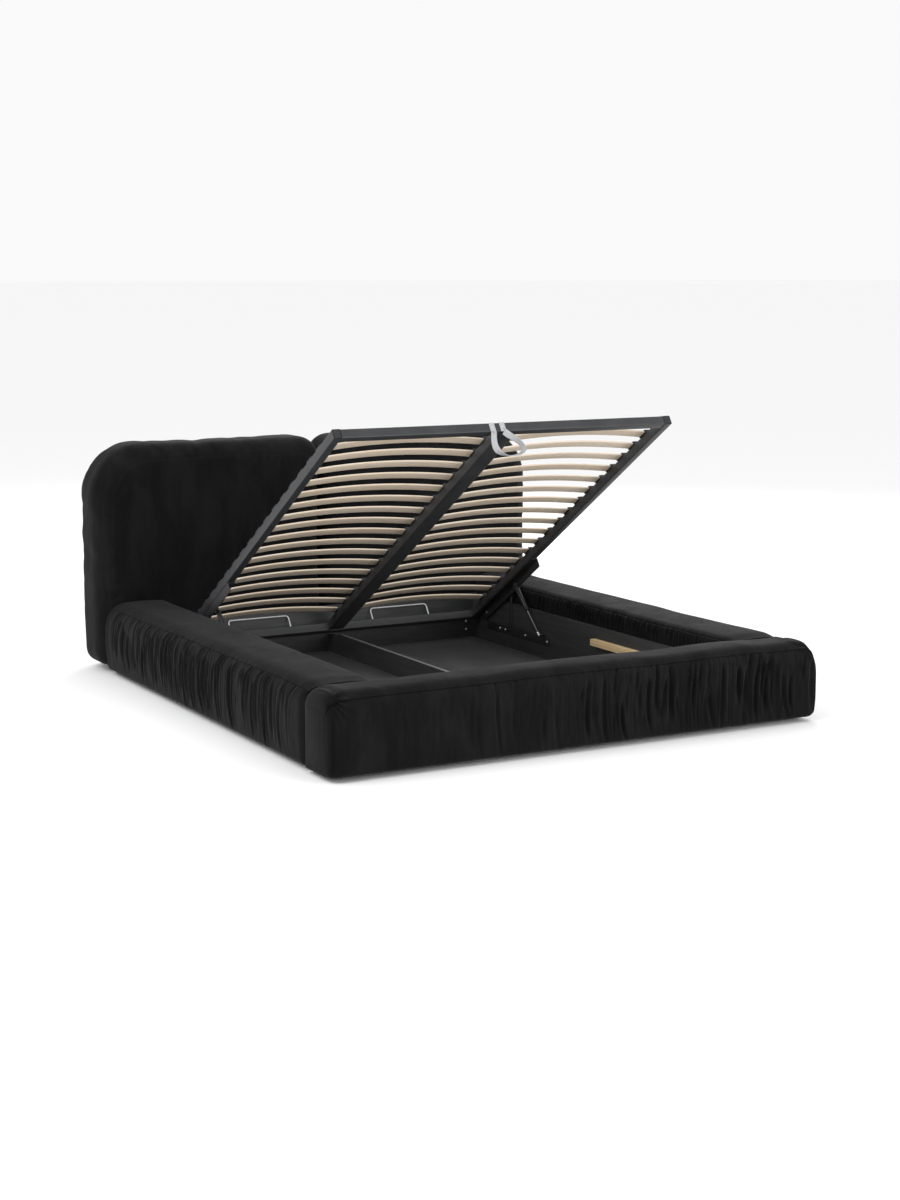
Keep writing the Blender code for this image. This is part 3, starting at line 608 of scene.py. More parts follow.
# ---- headboard cushions --------------------------------------------------------------------------
# Two deep cushions side by side on one chipboard board. Every edge is round, the cover is a little
# loose, and it is gathered here and there where the front panel meets the band round its edge.
HEAD_INNER_CORNER = 0.110    # radius of the top corner beside the other cushion
HEAD_OUTER_CORNER = 0.235
HEAD_LOW_CORNER = 0.060
HEAD_FACE_ROLL = 0.085       # of the foam's front and back edges
HEAD_VOXEL = 0.016
HEAD_PRESSURE = 4.0
HEAD_FRAMES = 20
HEAD_CAP = 0.030             # the farthest that the cover is let swell
EDGE_GIVE = 0.15             # share of its pull that moves the outline, which the foam holds out
HEAD_LOOSE = 0.008           # how far the loose cover stands out past the foam
BAND_INSET = 0.062           # from the edge to the seam round the front panel
HEAD_GATHERS = 34
HEAD_BELLY = 0.020           # of a cushion's outer side
HEAD_CREST = 0.012           # of a cushion's top


def round_edges(bm, edges, radius, segments, **limits):
    bmesh.ops.bevel(bm, geom=edges, offset=radius, segments=segments, profile=0.5, affect="EDGES",
                    material=-1, **limits)


def rounded_slab(width, height, depth, radii):
    """Slab standing on its lower edge: x 0 to width, y 0 to depth, z 0 to height."""
    bm = block((0, 0, 0), (width, depth, height))
    for (x, z), radius in radii:
        edges = [edge for edge in bm.edges if all(abs(vert.co.x - x * width) < 1e-4 and
                                                  abs(vert.co.z - z * height) < 1e-4 for vert in edge.verts)]
        round_edges(bm, edges, radius, 10)
    rim = [edge for edge in bm.edges if len({round(vert.co.y, 4) for vert in edge.verts}) == 1]
    round_edges(bm, rim, HEAD_FACE_ROLL, 6)
    return bm


def swollen(piece):
    """Remesh a piece evenly, let air pressure swell its cloth, and limit how far each point moves."""
    remesh = piece.modifiers.new("even", "REMESH")
    remesh.mode = "VOXEL"
    remesh.voxel_size = HEAD_VOXEL
    apply_modifiers(piece)
    before = np.array([vert.co for vert in piece.data.vertices])
    cloth = piece.modifiers.new("cloth", "CLOTH")
    cloth.settings.use_pressure = True
    cloth.settings.uniform_pressure_force = HEAD_PRESSURE
    cloth.settings.effector_weights.gravity = 0.0
    cloth.settings.quality = 4
    for step in range(1, HEAD_FRAMES + 1):
        bpy.context.scene.frame_set(step)
    apply_modifiers(piece)
    after = np.array([vert.co for vert in piece.data.vertices])
    moved = (after - before) * [EDGE_GIVE, 1.0, EDGE_GIVE]
    far = np.linalg.norm(moved, axis=1)[:, None]
    after = before + moved * np.minimum(1.0, HEAD_CAP / np.maximum(far, 1e-9))
    piece.data.vertices.foreach_set("co", after.astype(np.float32).ravel())
    bpy.context.scene.frame_set(1)
    smooth = piece.modifiers.new("smooth", "SUBSURF")
    smooth.levels = smooth.render_levels = 1
    bpy.context.view_layer.update()
    apply_modifiers(piece)


def coat(piece, material):
    piece.data.materials.clear()
    piece.data.materials.append(material)


def depth_inside(x, z, width, height, corners):
    """Distance in from the outline of a slab with rounded corners, seen from the front."""
    inside = np.minimum(np.minimum(x, width - x), np.minimum(z, height - z))
    for (cx, cz), radius in corners:
        ax = radius - x if cx == 0 else x - (width - radius)
        az = radius - z if cz == 0 else z - (height - radius)
        inside = np.where((ax > 0) & (az > 0), radius - np.hypot(ax, az), inside)
    return inside


for side, name in ((-1, "left"), (1, "right")):
    low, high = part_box(f"headboard_cushion_{name}")
    board_low, board_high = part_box("headboard_core")
    width, height, depth = high.x - low.x, high.z - low.z, high.y - low.y
    corners = [((1, 1), HEAD_OUTER_CORNER), ((0, 1), HEAD_INNER_CORNER), ((1, 0), HEAD_LOW_CORNER),
               ((0, 0), HEAD_LOW_CORNER)]
    bm = rounded_slab(width, height, depth, corners)
    piece = linked(f"headboard_cover_{name}", mesh_from(f"headboard_cover_{name}", bm))
    swollen(piece)
    mesh = piece.data
    place = np.array([vert.co for vert in mesh.vertices])
    normal = np.array([vert.normal for vert in mesh.vertices])
    # the swollen cover is drawn back to the width and height of its foam
    share = (place - place.min(0)) / (place.max(0) - place.min(0))
    size = np.array([width, depth, height]) + HEAD_LOOSE
    place = np.array([0, -HEAD_LOOSE, 0]) + share * size
    x, y, z = place.T
    rng = np.random.default_rng(31 if side < 0 else 32)
    edge_in = depth_inside(x, z, width, height, corners)
    front = 1 - ease(y, 0.10, 0.17)
    # the seam round the front panel
    on_face = 1 - ease(y, 0.05, 0.10)
    push = -0.0018 * bell(edge_in, BAND_INSET, 0.0060) * on_face
    # the outer side and the top belly out a little
    belly = np.sin(math.pi * np.clip(z / height, 0, 1)) * ease(x, width * 0.75, width)
    crest = np.sin(math.pi * np.clip(x / width, 0, 1)) * ease(z, height * 0.80, height)
    place = place + np.stack([HEAD_BELLY * belly, 0 * x, HEAD_CREST * crest], 1)
    # short gathers across the seam, most along the top and round the outer corner
    angle = np.arctan2(z - height * 0.45, x - width * 0.45)
    for _ in range(HEAD_GATHERS):
        at = rng.uniform(-0.25, math.pi * 0.98)
        spread = rng.uniform(0.010, 0.020)
        drop = rng.uniform(0.020, 0.055)
        strength = rng.uniform(0.0015, 0.0050)
        skew = rng.normal(0, 0.35)
        across = angle - at - skew * (edge_in - BAND_INSET)
        push -= strength * bell(across, 0, spread) * bell(edge_in, BAND_INSET + 0.012, drop) * front
    # long soft drags down the front, and an uneven crown
    drag = soft_noise(rng, width, 0.12)
    crown = soft_noise(rng, width, 0.38)
    push += front * ease(edge_in, 0.05, 0.20) * (0.0020 * drag(x + 0.06 * np.sin(z * 4)) + 0.0030 * crown(x))
    side_drag = soft_noise(rng, height, 0.09)
    push += 0.0009 * side_drag(z) * (1 - ease(edge_in, 0.02, 0.07))
    place = place + normal * push[:, None]
    place = place.clip([-0.004, -0.016, -0.004], [width + 0.030, depth, height + 0.026])
    place[:, 0] = np.maximum(place[:, 0], 0.0)
    world_x = low.x + place[:, 0] if side > 0 else high.x - place[:, 0]
    place = np.stack([world_x, low.y + place[:, 1], low.z + place[:, 2]], 1)
    mesh.vertices.foreach_set("co", place.astype(np.float32).ravel())
    if side < 0:
        mesh.flip_normals()
    coat(piece, VELVET)
    mesh.shade_smooth()
    # the seam groove round the front panel is marked for the velvet's painted shade
    set_mark(mesh, "seam", 0.55 * bell(edge_in, BAND_INSET, 0.0035) * on_face)
    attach(piece, "root")
    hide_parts(f"headboard_cushion_{name}")
    carved(piece, (board_low.x - COVER_GAP, board_low.y - COVER_GAP, -RAIL_FOOT),
           (board_high.x + COVER_GAP, board_high.y + RAIL_FOOT, board_high.z + COVER_GAP))


# ---- storage box ---------------------------------------------------------------------------------
# Dark melamine boards: side, foot and head panels, a low divider, and two floor panels with a
# slightly smoother and paler face. The divider's top carries a thin grey edging strip.
BOARD_ROUND = 0.0010
EDGING_THICKNESS = 0.0004


def board_material():
    """Dark melamine with a fine printed grain and a light orange peel, dulled where it is handled."""
    shade = Shade("dark_melamine", Specular_IOR_Level=0.45)
    fibre = shade.grain(60.0, 4.0, shade.stretched((0.10, 0.05, 1.0)))
    dust = shade.grain(5.0, 3.0)
    tone = shade.between(fibre.ease(0.35, 0.7), (0.0230, 0.0235, 0.0245), (0.0340, 0.0345, 0.0355))
    dusty = shade.between(dust.ease(0.5, 0.8) * 0.25, tone, (0.050, 0.050, 0.052))
    return shade.finish(dusty, 0.42 + dust * 0.18, shade.grain(420.0, 2.0), 0.00012)


def floor_board_material():
    """Charcoal floor board: an even satin face with a faint pebble and a few dry wipe marks."""
    shade = Shade("charcoal_floor_board", Specular_IOR_Level=0.5)
    wipe = shade.grain(9.0, 3.0, shade.stretched((1.0, 0.25, 1.0)), 0.8)
    wiped = shade.between(wipe.ease(0.4, 0.75), (0.075, 0.075, 0.078), (0.098, 0.098, 0.102))
    return shade.finish(wiped, 0.36 + wipe * 0.16, shade.grain(500.0, 2.0), 0.00015)


MELAMINE = board_material()
FLOOR_BOARD = floor_board_material()
shade = Shade("edging_strip")
tone = shade.between(shade.grain(160.0, 2.0).ease(0.3, 0.8), (0.150, 0.152, 0.158), (0.210, 0.212, 0.220))
EDGING = shade.finish(tone, 0.5, shade.grain(700.0, 1.0), 0.00008)


def rounded_block(low, high, radius, segments=2):
    """Block between two corners with every edge rounded."""
    bm = block(low, high)
    round_edges(bm, bm.edges[:], radius, segments)
    return bm


boards = {"box_side_panel_left": MELAMINE, "box_side_panel_right": MELAMINE, "box_foot_panel": MELAMINE,
          "box_head_panel": MELAMINE, "floor_panel_left": FLOOR_BOARD, "floor_panel_right": FLOOR_BOARD}
for node, material in boards.items():
    new_piece(f"{node}_board", rounded_block(*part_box(node), BOARD_ROUND), material, "root", [node])

# the divider is notched at its head end, so it keeps its own outline, with the strip on its long top
divider = frame["nodes"]["box_divider"]
coat(divider, MELAMINE)
low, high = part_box("box_divider")
tops = [vert.co.y for vert in divider.data.vertices if vert.co.z > high.z - BOARD_ROUND]
strip = rounded_block((low.x, low.y, high.z), (high.x, max(tops), high.z + EDGING_THICKNESS),
                      EDGING_THICKNESS / 3)
new_piece("divider_edging", strip, EDGING, "root")


# ---- rail boards, headboard board and glides -----------------------------------------------------
# Chipboard rails, stained black, which only show from underneath, and the headboard's board, with
# black felt over its back. The bed stands on round plastic glides.
shade = Shade("stained_chipboard", Specular_IOR_Level=0.2)
cells = shade.node("ShaderNodeTexVoronoi", {}, {"Vector": shade.spot, "Scale": 210.0})
chips = Value(shade, cells.outputs["Distance"])
flakes = shade.grain(90.0, 4.0)
tone = shade.between(flakes * 0.6 + chips * 0.8, (0.012, 0.011, 0.010), (0.030, 0.026, 0.022))
CHIPBOARD = shade.finish(tone, 0.85, chips, 0.0006)
for node in ("side_rail_core_left", "side_rail_core_right", "foot_rail_core"):
    coat(frame["nodes"][node], CHIPBOARD)

# the felt is a matted cloth of short crossed fibres
shade = Shade("black_lining_felt", Specular_IOR_Level=0.15)
upright = shade.grain(300.0, 3.0, shade.stretched((1.0, 1.0, 0.12)), 1.2)
level = shade.grain(300.0, 3.0, shade.stretched((0.12, 1.0, 1.0)), 1.2)
tone = shade.between(upright * 0.5 + level * 0.5, (0.004, 0.004, 0.004), (0.022, 0.022, 0.023))
coat(frame["nodes"]["headboard_core"], shade.finish(tone, 0.95, upright + level, 0.0004))

shade = Shade("black_plastic", Specular_IOR_Level=0.4)
scuff = shade.grain(130.0, 3.0)
tone = shade.between(scuff.ease(0.45, 0.8), (0.016, 0.016, 0.017), (0.030, 0.030, 0.031))
PLASTIC = shade.finish(tone, 0.40 + scuff * 0.25, shade.grain(900.0, 1.0), 0.00010)


def placed(bm, matrix):
    bmesh.ops.transform(bm, matrix=matrix, verts=bm.verts)
    return bm


def turned_piece(profile, sides=32):
    """Solid of revolution about Z from its profile of (radius, height) pairs, ends on the axis."""
    bm = bmesh.new()
    verts = [bm.verts.new((radius, 0, height)) for radius, height in profile]
    edges = [bm.edges.new(pair) for pair in zip(verts, verts[1:])]
    bmesh.ops.spin(bm, geom=verts + edges, cent=(0, 0, 0), axis=(0, 0, 1), angle=math.tau, steps=sides,
                   use_merge=True, use_duplicate=False)
    bmesh.ops.remove_doubles(bm, verts=bm.verts, dist=1e-6)
    bmesh.ops.recalc_face_normals(bm, faces=bm.faces)
    return bm


GLIDE_LIP = 0.002
for node in [n for n in frame["nodes"] if n.startswith("glide_")]:
    low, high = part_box(node)
    radius, height = (high.x - low.x) / 2, high.z - low.z
    bm = turned_piece([(0, 0), (radius - GLIDE_LIP * 1.5, 0), (radius - GLIDE_LIP * 0.5, GLIDE_LIP * 0.4),
                       (radius, GLIDE_LIP * 1.5), (radius, height - GLIDE_LIP),
                       (radius - GLIDE_LIP / 2, height), (0, height)])
    spot = Matrix.Translation(((low.x + high.x) / 2, (low.y + high.y) / 2, low.z))
    new_piece(f"{node}_foot", placed(bm, spot), PLASTIC, "root", [node])


# ---- support battens -----------------------------------------------------------------------------
# Planed pine strips that the closed platform rests on. They are left bare, and plated screws along
# their middle hold them to the side panels.
SCREW_PITCH = 0.290
SCREW_HEAD = 0.0042


def pine_material():
    """Planed pine: long growth rings that waver, finer pores between them, a darker knot here and there."""
    shade = Shade("planed_pine", Specular_IOR_Level=0.3)
    spot = shade.stretched((1.0, 0.035, 1.0))
    waver = shade.grain(6.0, 2.0, spot) * 0.018
    rings = (shade.axis(2) * 420.0 + shade.axis(0) * 150.0 + waver * 900.0).wave() * 0.5 + 0.5
    pores = shade.grain(300.0, 3.0, spot)
    blush = shade.grain(2.2, 2.0)
    pale = shade.between(rings.ease(0.55, 1.0) * 0.7, (0.66, 0.50, 0.29), (0.52, 0.34, 0.16))
    wood = shade.between(pores.ease(0.55, 0.85) * 0.45 + blush * 0.15, pale, (0.40, 0.26, 0.12))
    return shade.finish(wood, 0.62 - rings * 0.08, rings * 0.3 + pores, 0.00025)


def metal_material(name, dark, pale, rough):
    """Plated steel with fine draw lines and a cloudy, slightly worn sheen."""
    shade = Shade(name, Metallic=1.0)
    cloud = shade.grain(45.0, 3.0)
    lines = shade.grain(600.0, 2.0, shade.stretched((1.0, 0.08, 1.0)))
    return shade.finish(shade.between(cloud * 0.6 + lines * 0.4, dark, pale), rough + cloud * 0.16, lines,
                        0.00004)


PINE = pine_material()
ZINC = metal_material("zinc_plated_steel", (0.50, 0.50, 0.52), (0.80, 0.80, 0.82), 0.22)


def screw_head(radius, rise, sides=20):
    """Low domed head with a socket, standing on z = 0."""
    shape = ((0, 0.35), (0.40, 0.35), (0.46, 1), (0.80, 0.86), (0.97, 0.45), (1, 0), (0, 0))
    return turned_piece([(radius * across, rise * up) for across, up in shape], sides)


def gathered_mesh(parts):
    """One bmesh from several (bmesh, matrix) parts."""
    whole = bmesh.new()
    for part, matrix in parts:
        mesh = mesh_from("part", placed(part, matrix))
        whole.from_mesh(mesh)
        bpy.data.meshes.remove(mesh)
    return whole


def facing(place, direction):
    """Turn and place something that was made standing on Z."""
    return Matrix.Translation(place) @ Vector(direction).to_track_quat("Z", "Y").to_matrix().to_4x4()


for side, name in ((-1, "left"), (1, "right")):
    low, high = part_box(f"support_batten_{name}")
    new_piece(f"support_batten_{name}_strip", rounded_block(low, high, 0.0018, 3), PINE, "root",
              [f"support_batten_{name}"])
    face = low.x if side > 0 else high.x
    count = int((high.y - low.y) / SCREW_PITCH) + 1
    first = (low.y + high.y - SCREW_PITCH * (count - 1)) / 2
    heads = [(screw_head(SCREW_HEAD, 0.0016), facing((face, first + SCREW_PITCH * i, (low.z + high.z) / 2),
                                                     (-side, 0, 0))) for i in range(count)]
    new_piece(f"batten_screws_{name}", gathered_mesh(heads), ZINC, "root")


# ---- platform frame ------------------------------------------------------------------------------
# Rectangular steel tube with rounded corners, welded where the bars meet and powder coated
# charcoal. Black plugs close the side tubes. Everything on the platform is made lying flat, as it
# is when the bed is closed, and is then lifted about the pivot to where the platform stands.
TUBE_WALL = 0.002
TUBE_CORNER = 0.0045
WELD_RADIUS = 0.0030
WELD_RIPPLE = 0.0035
BORE_DEPTH = 0.045           # of a tube's open end
PLUG_DEPTH = 0.020
PLUG_RISE = 0.0005           # past the tube's end
PLUG_ROUND = 0.0015


def joint(name):
    return next(entry for entry in frame["joints"] if entry["name"] == name)


lift_joint = joint("platform_lift")
PIVOT = Vector(lift_joint["pos_m"])
OPEN_ANGLE = math.radians(lift_joint["range_deg"][1])
LIFT = Matrix.Translation(PIVOT) @ Matrix.Rotation(-OPEN_ANGLE, 4, "X") @ Matrix.Translation(-PIVOT)
LOWER = LIFT.inverted()


def lying(node):
    """A platform node's lowest and highest corners with the platform closed."""
    spots = np.array([LOWER @ vert.co for vert in frame["nodes"][node].data.vertices])
    return Vector(spots.min(0)), Vector(spots.max(0))


def lifted_piece(name, bm, material, replaced=(), smooth_angle=40.0):
    return new_piece(name, placed(bm, LIFT), material, "platform", replaced, smooth_angle)


def round_long_edges(bm, axis, length, radius, segments):
    """Round the edges that run the whole length of a bar."""
    edges = [edge for edge in bm.edges if abs(edge.verts[0].co[axis] - edge.verts[1].co[axis]) > length / 2]
    round_edges(bm, edges, radius, segments)


def powder_material(name, dark, pale):
    """Powder coat: a fine orange peel, faint cloudiness, and pimples rubbed a little paler."""
    shade = Shade(name, Specular_IOR_Level=0.5)
    peel = shade.grain(650.0, 2.0)
    cloud = shade.grain(11.0, 3.0)
    base = shade.between(cloud.ease(0.3, 0.75), dark, pale)
    rubbed = shade.between(peel.ease(0.62, 0.80) * 0.35, base, [value * 1.8 for value in pale])
    return shade.finish(rubbed, 0.40 + cloud * 0.14, peel, 0.00022)


POWDER = powder_material("charcoal_powder_coat", (0.021, 0.022, 0.024), (0.031, 0.032, 0.034))


def tube(low, high, lengthwise):
    """Hollow tube between two corners, with rounded corners and open ends."""
    run = 1 if lengthwise else 0
    bm = block(low, high)
    round_long_edges(bm, run, high[run] - low[run], TUBE_CORNER, 4)
    ends = [face for face in bm.faces if abs(face.normal[run]) > 0.9]
    for face in ends:
        inward = -face.normal.copy()
        bmesh.ops.inset_region(bm, faces=[face], thickness=TUBE_WALL, use_even_offset=True)
        for vert in face.verts:
            vert.co += inward * BORE_DEPTH
    return bm


side_low, side_high = lying("frame_side_right")
tube_places = {"frame_side_left": True, "frame_side_right": True, "frame_head_bar": False,
               "frame_foot_bar": False, "frame_centre_tube": True}
for node, lengthwise in tube_places.items():
    low, high = lying(node)
    lifted_piece(f"{node}_tube", tube(low, high, lengthwise), POWDER, [node], 50.0)


def bead(start, end):
    """Weld bead: a thin rod between two places whose ripples follow the welder's steps."""
    start, end = Vector(start), Vector(end)
    length = (end - start).length
    ripples = max(6, int(length / WELD_RIPPLE))
    profile = [(WELD_RADIUS * (0.86 + 0.14 * abs(math.sin(math.pi * i / 2))), length * i / ripples)
               for i in range(ripples + 1)]
    return turned_piece([(0, 0)] + profile + [(0, length)], 8), facing(start, end - start)


welds = []
for node in ("frame_head_bar", "frame_foot_bar"):
    low, high = lying(node)
    for x in (low.x, high.x):
        welds += [bead((x, y, z), (x, other, top)) for y, z, other, top in
                  ((low.y + TUBE_CORNER, low.z, high.y - TUBE_CORNER, low.z),
                   (low.y + TUBE_CORNER, high.z, high.y - TUBE_CORNER, high.z))]
        inner_y = low.y if node == "frame_head_bar" else high.y
        welds.append(bead((x, inner_y, low.z + TUBE_CORNER), (x, inner_y, high.z - TUBE_CORNER)))
low, high = lying("frame_centre_tube")
for y in (low.y, high.y):
    welds.append(bead((low.x + TUBE_CORNER, y, low.z), (high.x - TUBE_CORNER, y, low.z)))
    welds += [bead((x, y, low.z + TUBE_CORNER), (x, y, high.z - TUBE_CORNER)) for x in (low.x, high.x)]
lifted_piece("frame_welds", gathered_mesh(welds), POWDER)

plugs = []
for node in ("frame_side_left", "frame_side_right"):
    low, high = lying(node)
    for y, out in ((low.y, -1), (high.y, 1)):
        inner = Vector((low.x + TUBE_WALL, y - out * PLUG_DEPTH, low.z + TUBE_WALL))
        outer = Vector((high.x - TUBE_WALL, y + out * PLUG_RISE, high.z - TUBE_WALL))
        corners = [[min(a, b) for a, b in zip(inner, outer)], [max(a, b) for a, b in zip(inner, outer)]]
        plugs.append((rounded_block(*corners, PLUG_ROUND), Matrix.Identity(4)))
lifted_piece("tube_plugs", gathered_mesh(plugs), PLASTIC)


# ---- slats and their holders ---------------------------------------------------------------------
# Two bentwood slats to a row, of steamed beech layers bowed upwards, each pushed into a moulded
# cap on the side tube and into one half of a double cap on the centre tube.
SLAT_WIDTH = 0.046
SLAT_THICKNESS = 0.008
SLAT_BOW = 0.024
SLAT_CUTS = 24
HOLDER_HEIGHT = 0.016
MOUTH_REACH = 0.001          # of a cap past the tube that it sits on
CAP_WALL = 0.0028
CAP_ROUND = 0.0022
CAP_SETBACK = 0.011          # from the side tube's outer face
POCKET_DEPTH = 0.010
POCKET_INSET = CAP_WALL - CAP_ROUND + 0.0012
SIDE_TUBE_WIDTH = side_high.x - side_low.x


def beech_material():
    """Steamed beech veneer: fine rays along the slat, broad pale and pink drifts, its own tone each."""
    shade = Shade("bentwood_beech", Specular_IOR_Level=0.35)
    spot = shade.stretched((0.030, 1.0, 1.0))
    drift = shade.grain(14.0, 3.0, spot, 0.8)
    rays = shade.grain(420.0, 3.0, spot)
    flecks = shade.grain(190.0, 2.0, shade.stretched((0.16, 1.0, 1.0)))
    tone = shade.mark("tone")
    wood = shade.between(drift.ease(0.3, 0.7), (0.70, 0.605, 0.49), (0.61, 0.515, 0.405))
    warm = shade.between(tone, wood, (0.62, 0.515, 0.395))
    grained = shade.between(rays.ease(0.45, 0.8) * 0.35 + flecks.ease(0.60, 0.72) * 0.30, warm,
                            (0.42, 0.31, 0.215))
    return shade.finish(grained, 0.50 - drift * 0.10, rays + flecks * 0.6, 0.00018)


BEECH = beech_material()


def slat(start, end, y, seat):
    """Bowed slat from start to end along X, with rounded long edges."""
    length = end - start
    bm = block((0, -SLAT_WIDTH / 2, 0), (length, SLAT_WIDTH / 2, SLAT_THICKNESS))
    round_long_edges(bm, 0, length, SLAT_THICKNESS * 0.42, 3)
    for i in range(1, SLAT_CUTS):
        bmesh.ops.bisect_plane(bm, geom=bm.verts[:] + bm.edges[:] + bm.faces[:],
                               plane_co=(length * i / SLAT_CUTS, 0, 0), plane_no=(1, 0, 0))
    for vert in bm.verts:
        share = vert.co.x / length
        vert.co += Vector((start, y, seat + SLAT_BOW * 4 * share * (1 - share)))
    return bm


def cap(low, high, mouth):
    """Moulded cap: a rounded block with a pocket in each side that a slat goes into."""
    bm = rounded_block(low, high, CAP_ROUND, 3)
    for direction in mouth:
        face = max((f for f in bm.faces if f.normal.x * direction > 0.9), key=lambda f: f.calc_area())
        bmesh.ops.inset_region(bm, faces=[face], thickness=POCKET_INSET, use_even_offset=True)
        for vert in face.verts:
            vert.co.x -= direction * POCKET_DEPTH
    return bm


inner_end = lying("frame_centre_tube")[1].x + MOUTH_REACH
rng = np.random.default_rng(41)
for row in sorted(node for node in frame["nodes"] if node.startswith("slat_row_")):
    low, high = lying(row)
    number = row[-2:]
    y = (low.y + high.y) / 2
    seat = low.z + (HOLDER_HEIGHT - SLAT_THICKNESS) / 2
    top = low.z + HOLDER_HEIGHT
    outer_end = high.x - SIDE_TUBE_WIDTH - MOUTH_REACH
    for side, name in ((-1, "left"), (1, "right")):
        start, end = sorted((side * inner_end, side * outer_end))
        piece = lifted_piece(f"slat_{number}_{name}", slat(start, end, y, seat), BEECH, [row], 50.0)
        set_mark(piece.data, "tone", np.full(len(piece.data.vertices), rng.uniform(0.0, 0.9)))
    half = SLAT_WIDTH / 2 + CAP_WALL
    cap_end = high.x - CAP_SETBACK
    caps = [(cap((x_low, y - half, low.z), (x_high, y + half, top), mouth), Matrix.Identity(4))
            for x_low, x_high, mouth in ((-cap_end, -outer_end, (1,)), (outer_end, cap_end, (-1,)),
                                         (-inner_end, inner_end, (1, -1)))]
    lifted_piece(f"slat_caps_{number}", gathered_mesh(caps), PLASTIC, [row])


# ---- mattress stops ------------------------------------------------------------------------------
# Two hoops of pale coated wire that stand on the head bar and keep the mattress from sliding down
# when the platform is lifted. Each leg stands in a small collar.
WIRE_RADIUS = 0.003
WIRE_BEND = 0.016
WIRE_SIDES = 12
COLLAR = ((0, 0), (0.0065, 0), (0.0065, 0.002), (0.0045, 0.004), (0, 0.004))

shade = Shade("pale_coated_wire", Specular_IOR_Level=0.5)
cloud = shade.grain(60.0, 3.0)
tone = shade.between(cloud.ease(0.4, 0.8), (0.56, 0.56, 0.57), (0.44, 0.44, 0.45))
WIRE_COAT = shade.finish(tone, 0.30 + cloud * 0.15, shade.grain(500.0, 1.0), 0.00006)


def swept(points):
    """Round wire along points in the plane across the platform, closed at both ends."""
    bm = bmesh.new()
    ahead = [(points[min(i + 1, len(points) - 1)] - points[max(i - 1, 0)]).normalized()
             for i in range(len(points))]
    rings = []
    for point, run in zip(points, ahead):
        ring = bmesh.ops.create_circle(bm, cap_ends=False, segments=WIRE_SIDES, radius=WIRE_RADIUS,
                                       matrix=facing(point, run))["verts"]
        rings.append(list({edge for vert in ring for edge in vert.link_edges}))
    for first, second in zip(rings, rings[1:]):
        bmesh.ops.bridge_loops(bm, edges=first + second)
    bmesh.ops.holes_fill(bm, edges=[edge for edge in bm.edges if edge.is_boundary], sides=0)
    bmesh.ops.recalc_face_normals(bm, faces=bm.faces)
    return bm


for side, name in ((-1, "left"), (1, "right")):
    low, high = lying(f"mattress_stop_{name}")
    y = (low.y + high.y) / 2
    left, right = low.x + WIRE_RADIUS, high.x - WIRE_RADIUS
    part_way = low.z + (high.z - low.z) * 0.4
    bend_z = high.z - WIRE_RADIUS - WIRE_BEND
    points = [(left, low.z), (left, part_way)]
    points += arc((left + WIRE_BEND, bend_z), WIRE_BEND, 180, 90)
    points += arc((right - WIRE_BEND, bend_z), WIRE_BEND, 90, 0)
    points += [(right, part_way), (right, low.z)]
    hoop = swept([Vector((x, y, z)) for x, z in points])
    collars = [(turned_piece(COLLAR, 20), Matrix.Translation((x, y, low.z))) for x in (left, right)]
    lifted_piece(f"mattress_stop_{name}_wire", gathered_mesh([(hoop, Matrix.Identity(4))] + collars),
                 WIRE_COAT, [f"mattress_stop_{name}"])


# ---- pull strap ----------------------------------------------------------------------------------
# A loop of pale grey webbing. Its ends lie side by side over the foot bar's face, and its stiff
# loop hangs below and swings out to the right with a half turn in it.
STRAP_WIDTH = 0.025
STRAP_THICKNESS = 0.0018
STRAP_SPREAD = 0.024
STRAP_DROP = 0.100
STRAP_LEAN = 0.250
STRAP_TWIST = math.radians(75)
RIB_PITCH = 0.0022           # of the weave, along and across
LOOP_STEPS = 72
TAIL_STEPS = 10
RIBBON_CELLS = 6             # of the strap's mesh across its width


def webbing_material():
    """Grey polyester webbing: a herringbone of ribs that follows the strap, fuzzy at its edges."""
    shade = Shade("grey_webbing", Sheen_Weight=0.15, Sheen_Roughness=0.5, Specular_IOR_Level=0.25)
    along, across = shade.mark("along"), shade.mark("across")
    zigzag = (across * (math.tau / (RIB_PITCH * 4))).wave().size() * RIB_PITCH
    rib = ((along + zigzag) * (math.tau / RIB_PITCH)).wave() * 0.5 + 0.5
    yarn = (across * (math.tau / (RIB_PITCH * 0.5))).wave() * 0.5 + 0.5
    weave = rib * 0.7 + yarn * 0.3
    woven = shade.between(weave, (0.300, 0.302, 0.310), (0.560, 0.562, 0.570))
    return shade.finish(woven, 0.90 - weave * 0.12, weave, 0.0004)


WEBBING = webbing_material()


def ribbon(route, name, body, replaced):
    """Flat webbing along a route of (centre, direction across) pairs, with its weave's own measure."""
    centres = [spot for spot, _ in route]
    gone = np.r_[0, np.cumsum([(b - a).length for a, b in zip(centres, centres[1:])])]
    steps = len(route) - 1
    bm = bmesh.new()
    bmesh.ops.create_grid(bm, x_segments=steps, y_segments=RIBBON_CELLS, size=0.5)
    along = bm.verts.layers.float.new("along")
    across = bm.verts.layers.float.new("across")
    for vert in bm.verts:
        i = round((vert.co.x + 0.5) * steps)
        aside = vert.co.y * STRAP_WIDTH
        vert[along], vert[across] = gone[i], aside
        vert.co = centres[i] + route[i][1] * aside
    bmesh.ops.solidify(bm, geom=bm.faces[:], thickness=STRAP_THICKNESS)
    bmesh.ops.recalc_face_normals(bm, faces=bm.faces)
    piece = new_piece(name, bm, WEBBING, body, replaced, 60.0)
    round_off = piece.modifiers.new("soft_edge", "BEVEL")
    round_off.width = STRAP_THICKNESS * 0.3
    round_off.segments = 2
    round_off.limit_method = "ANGLE"


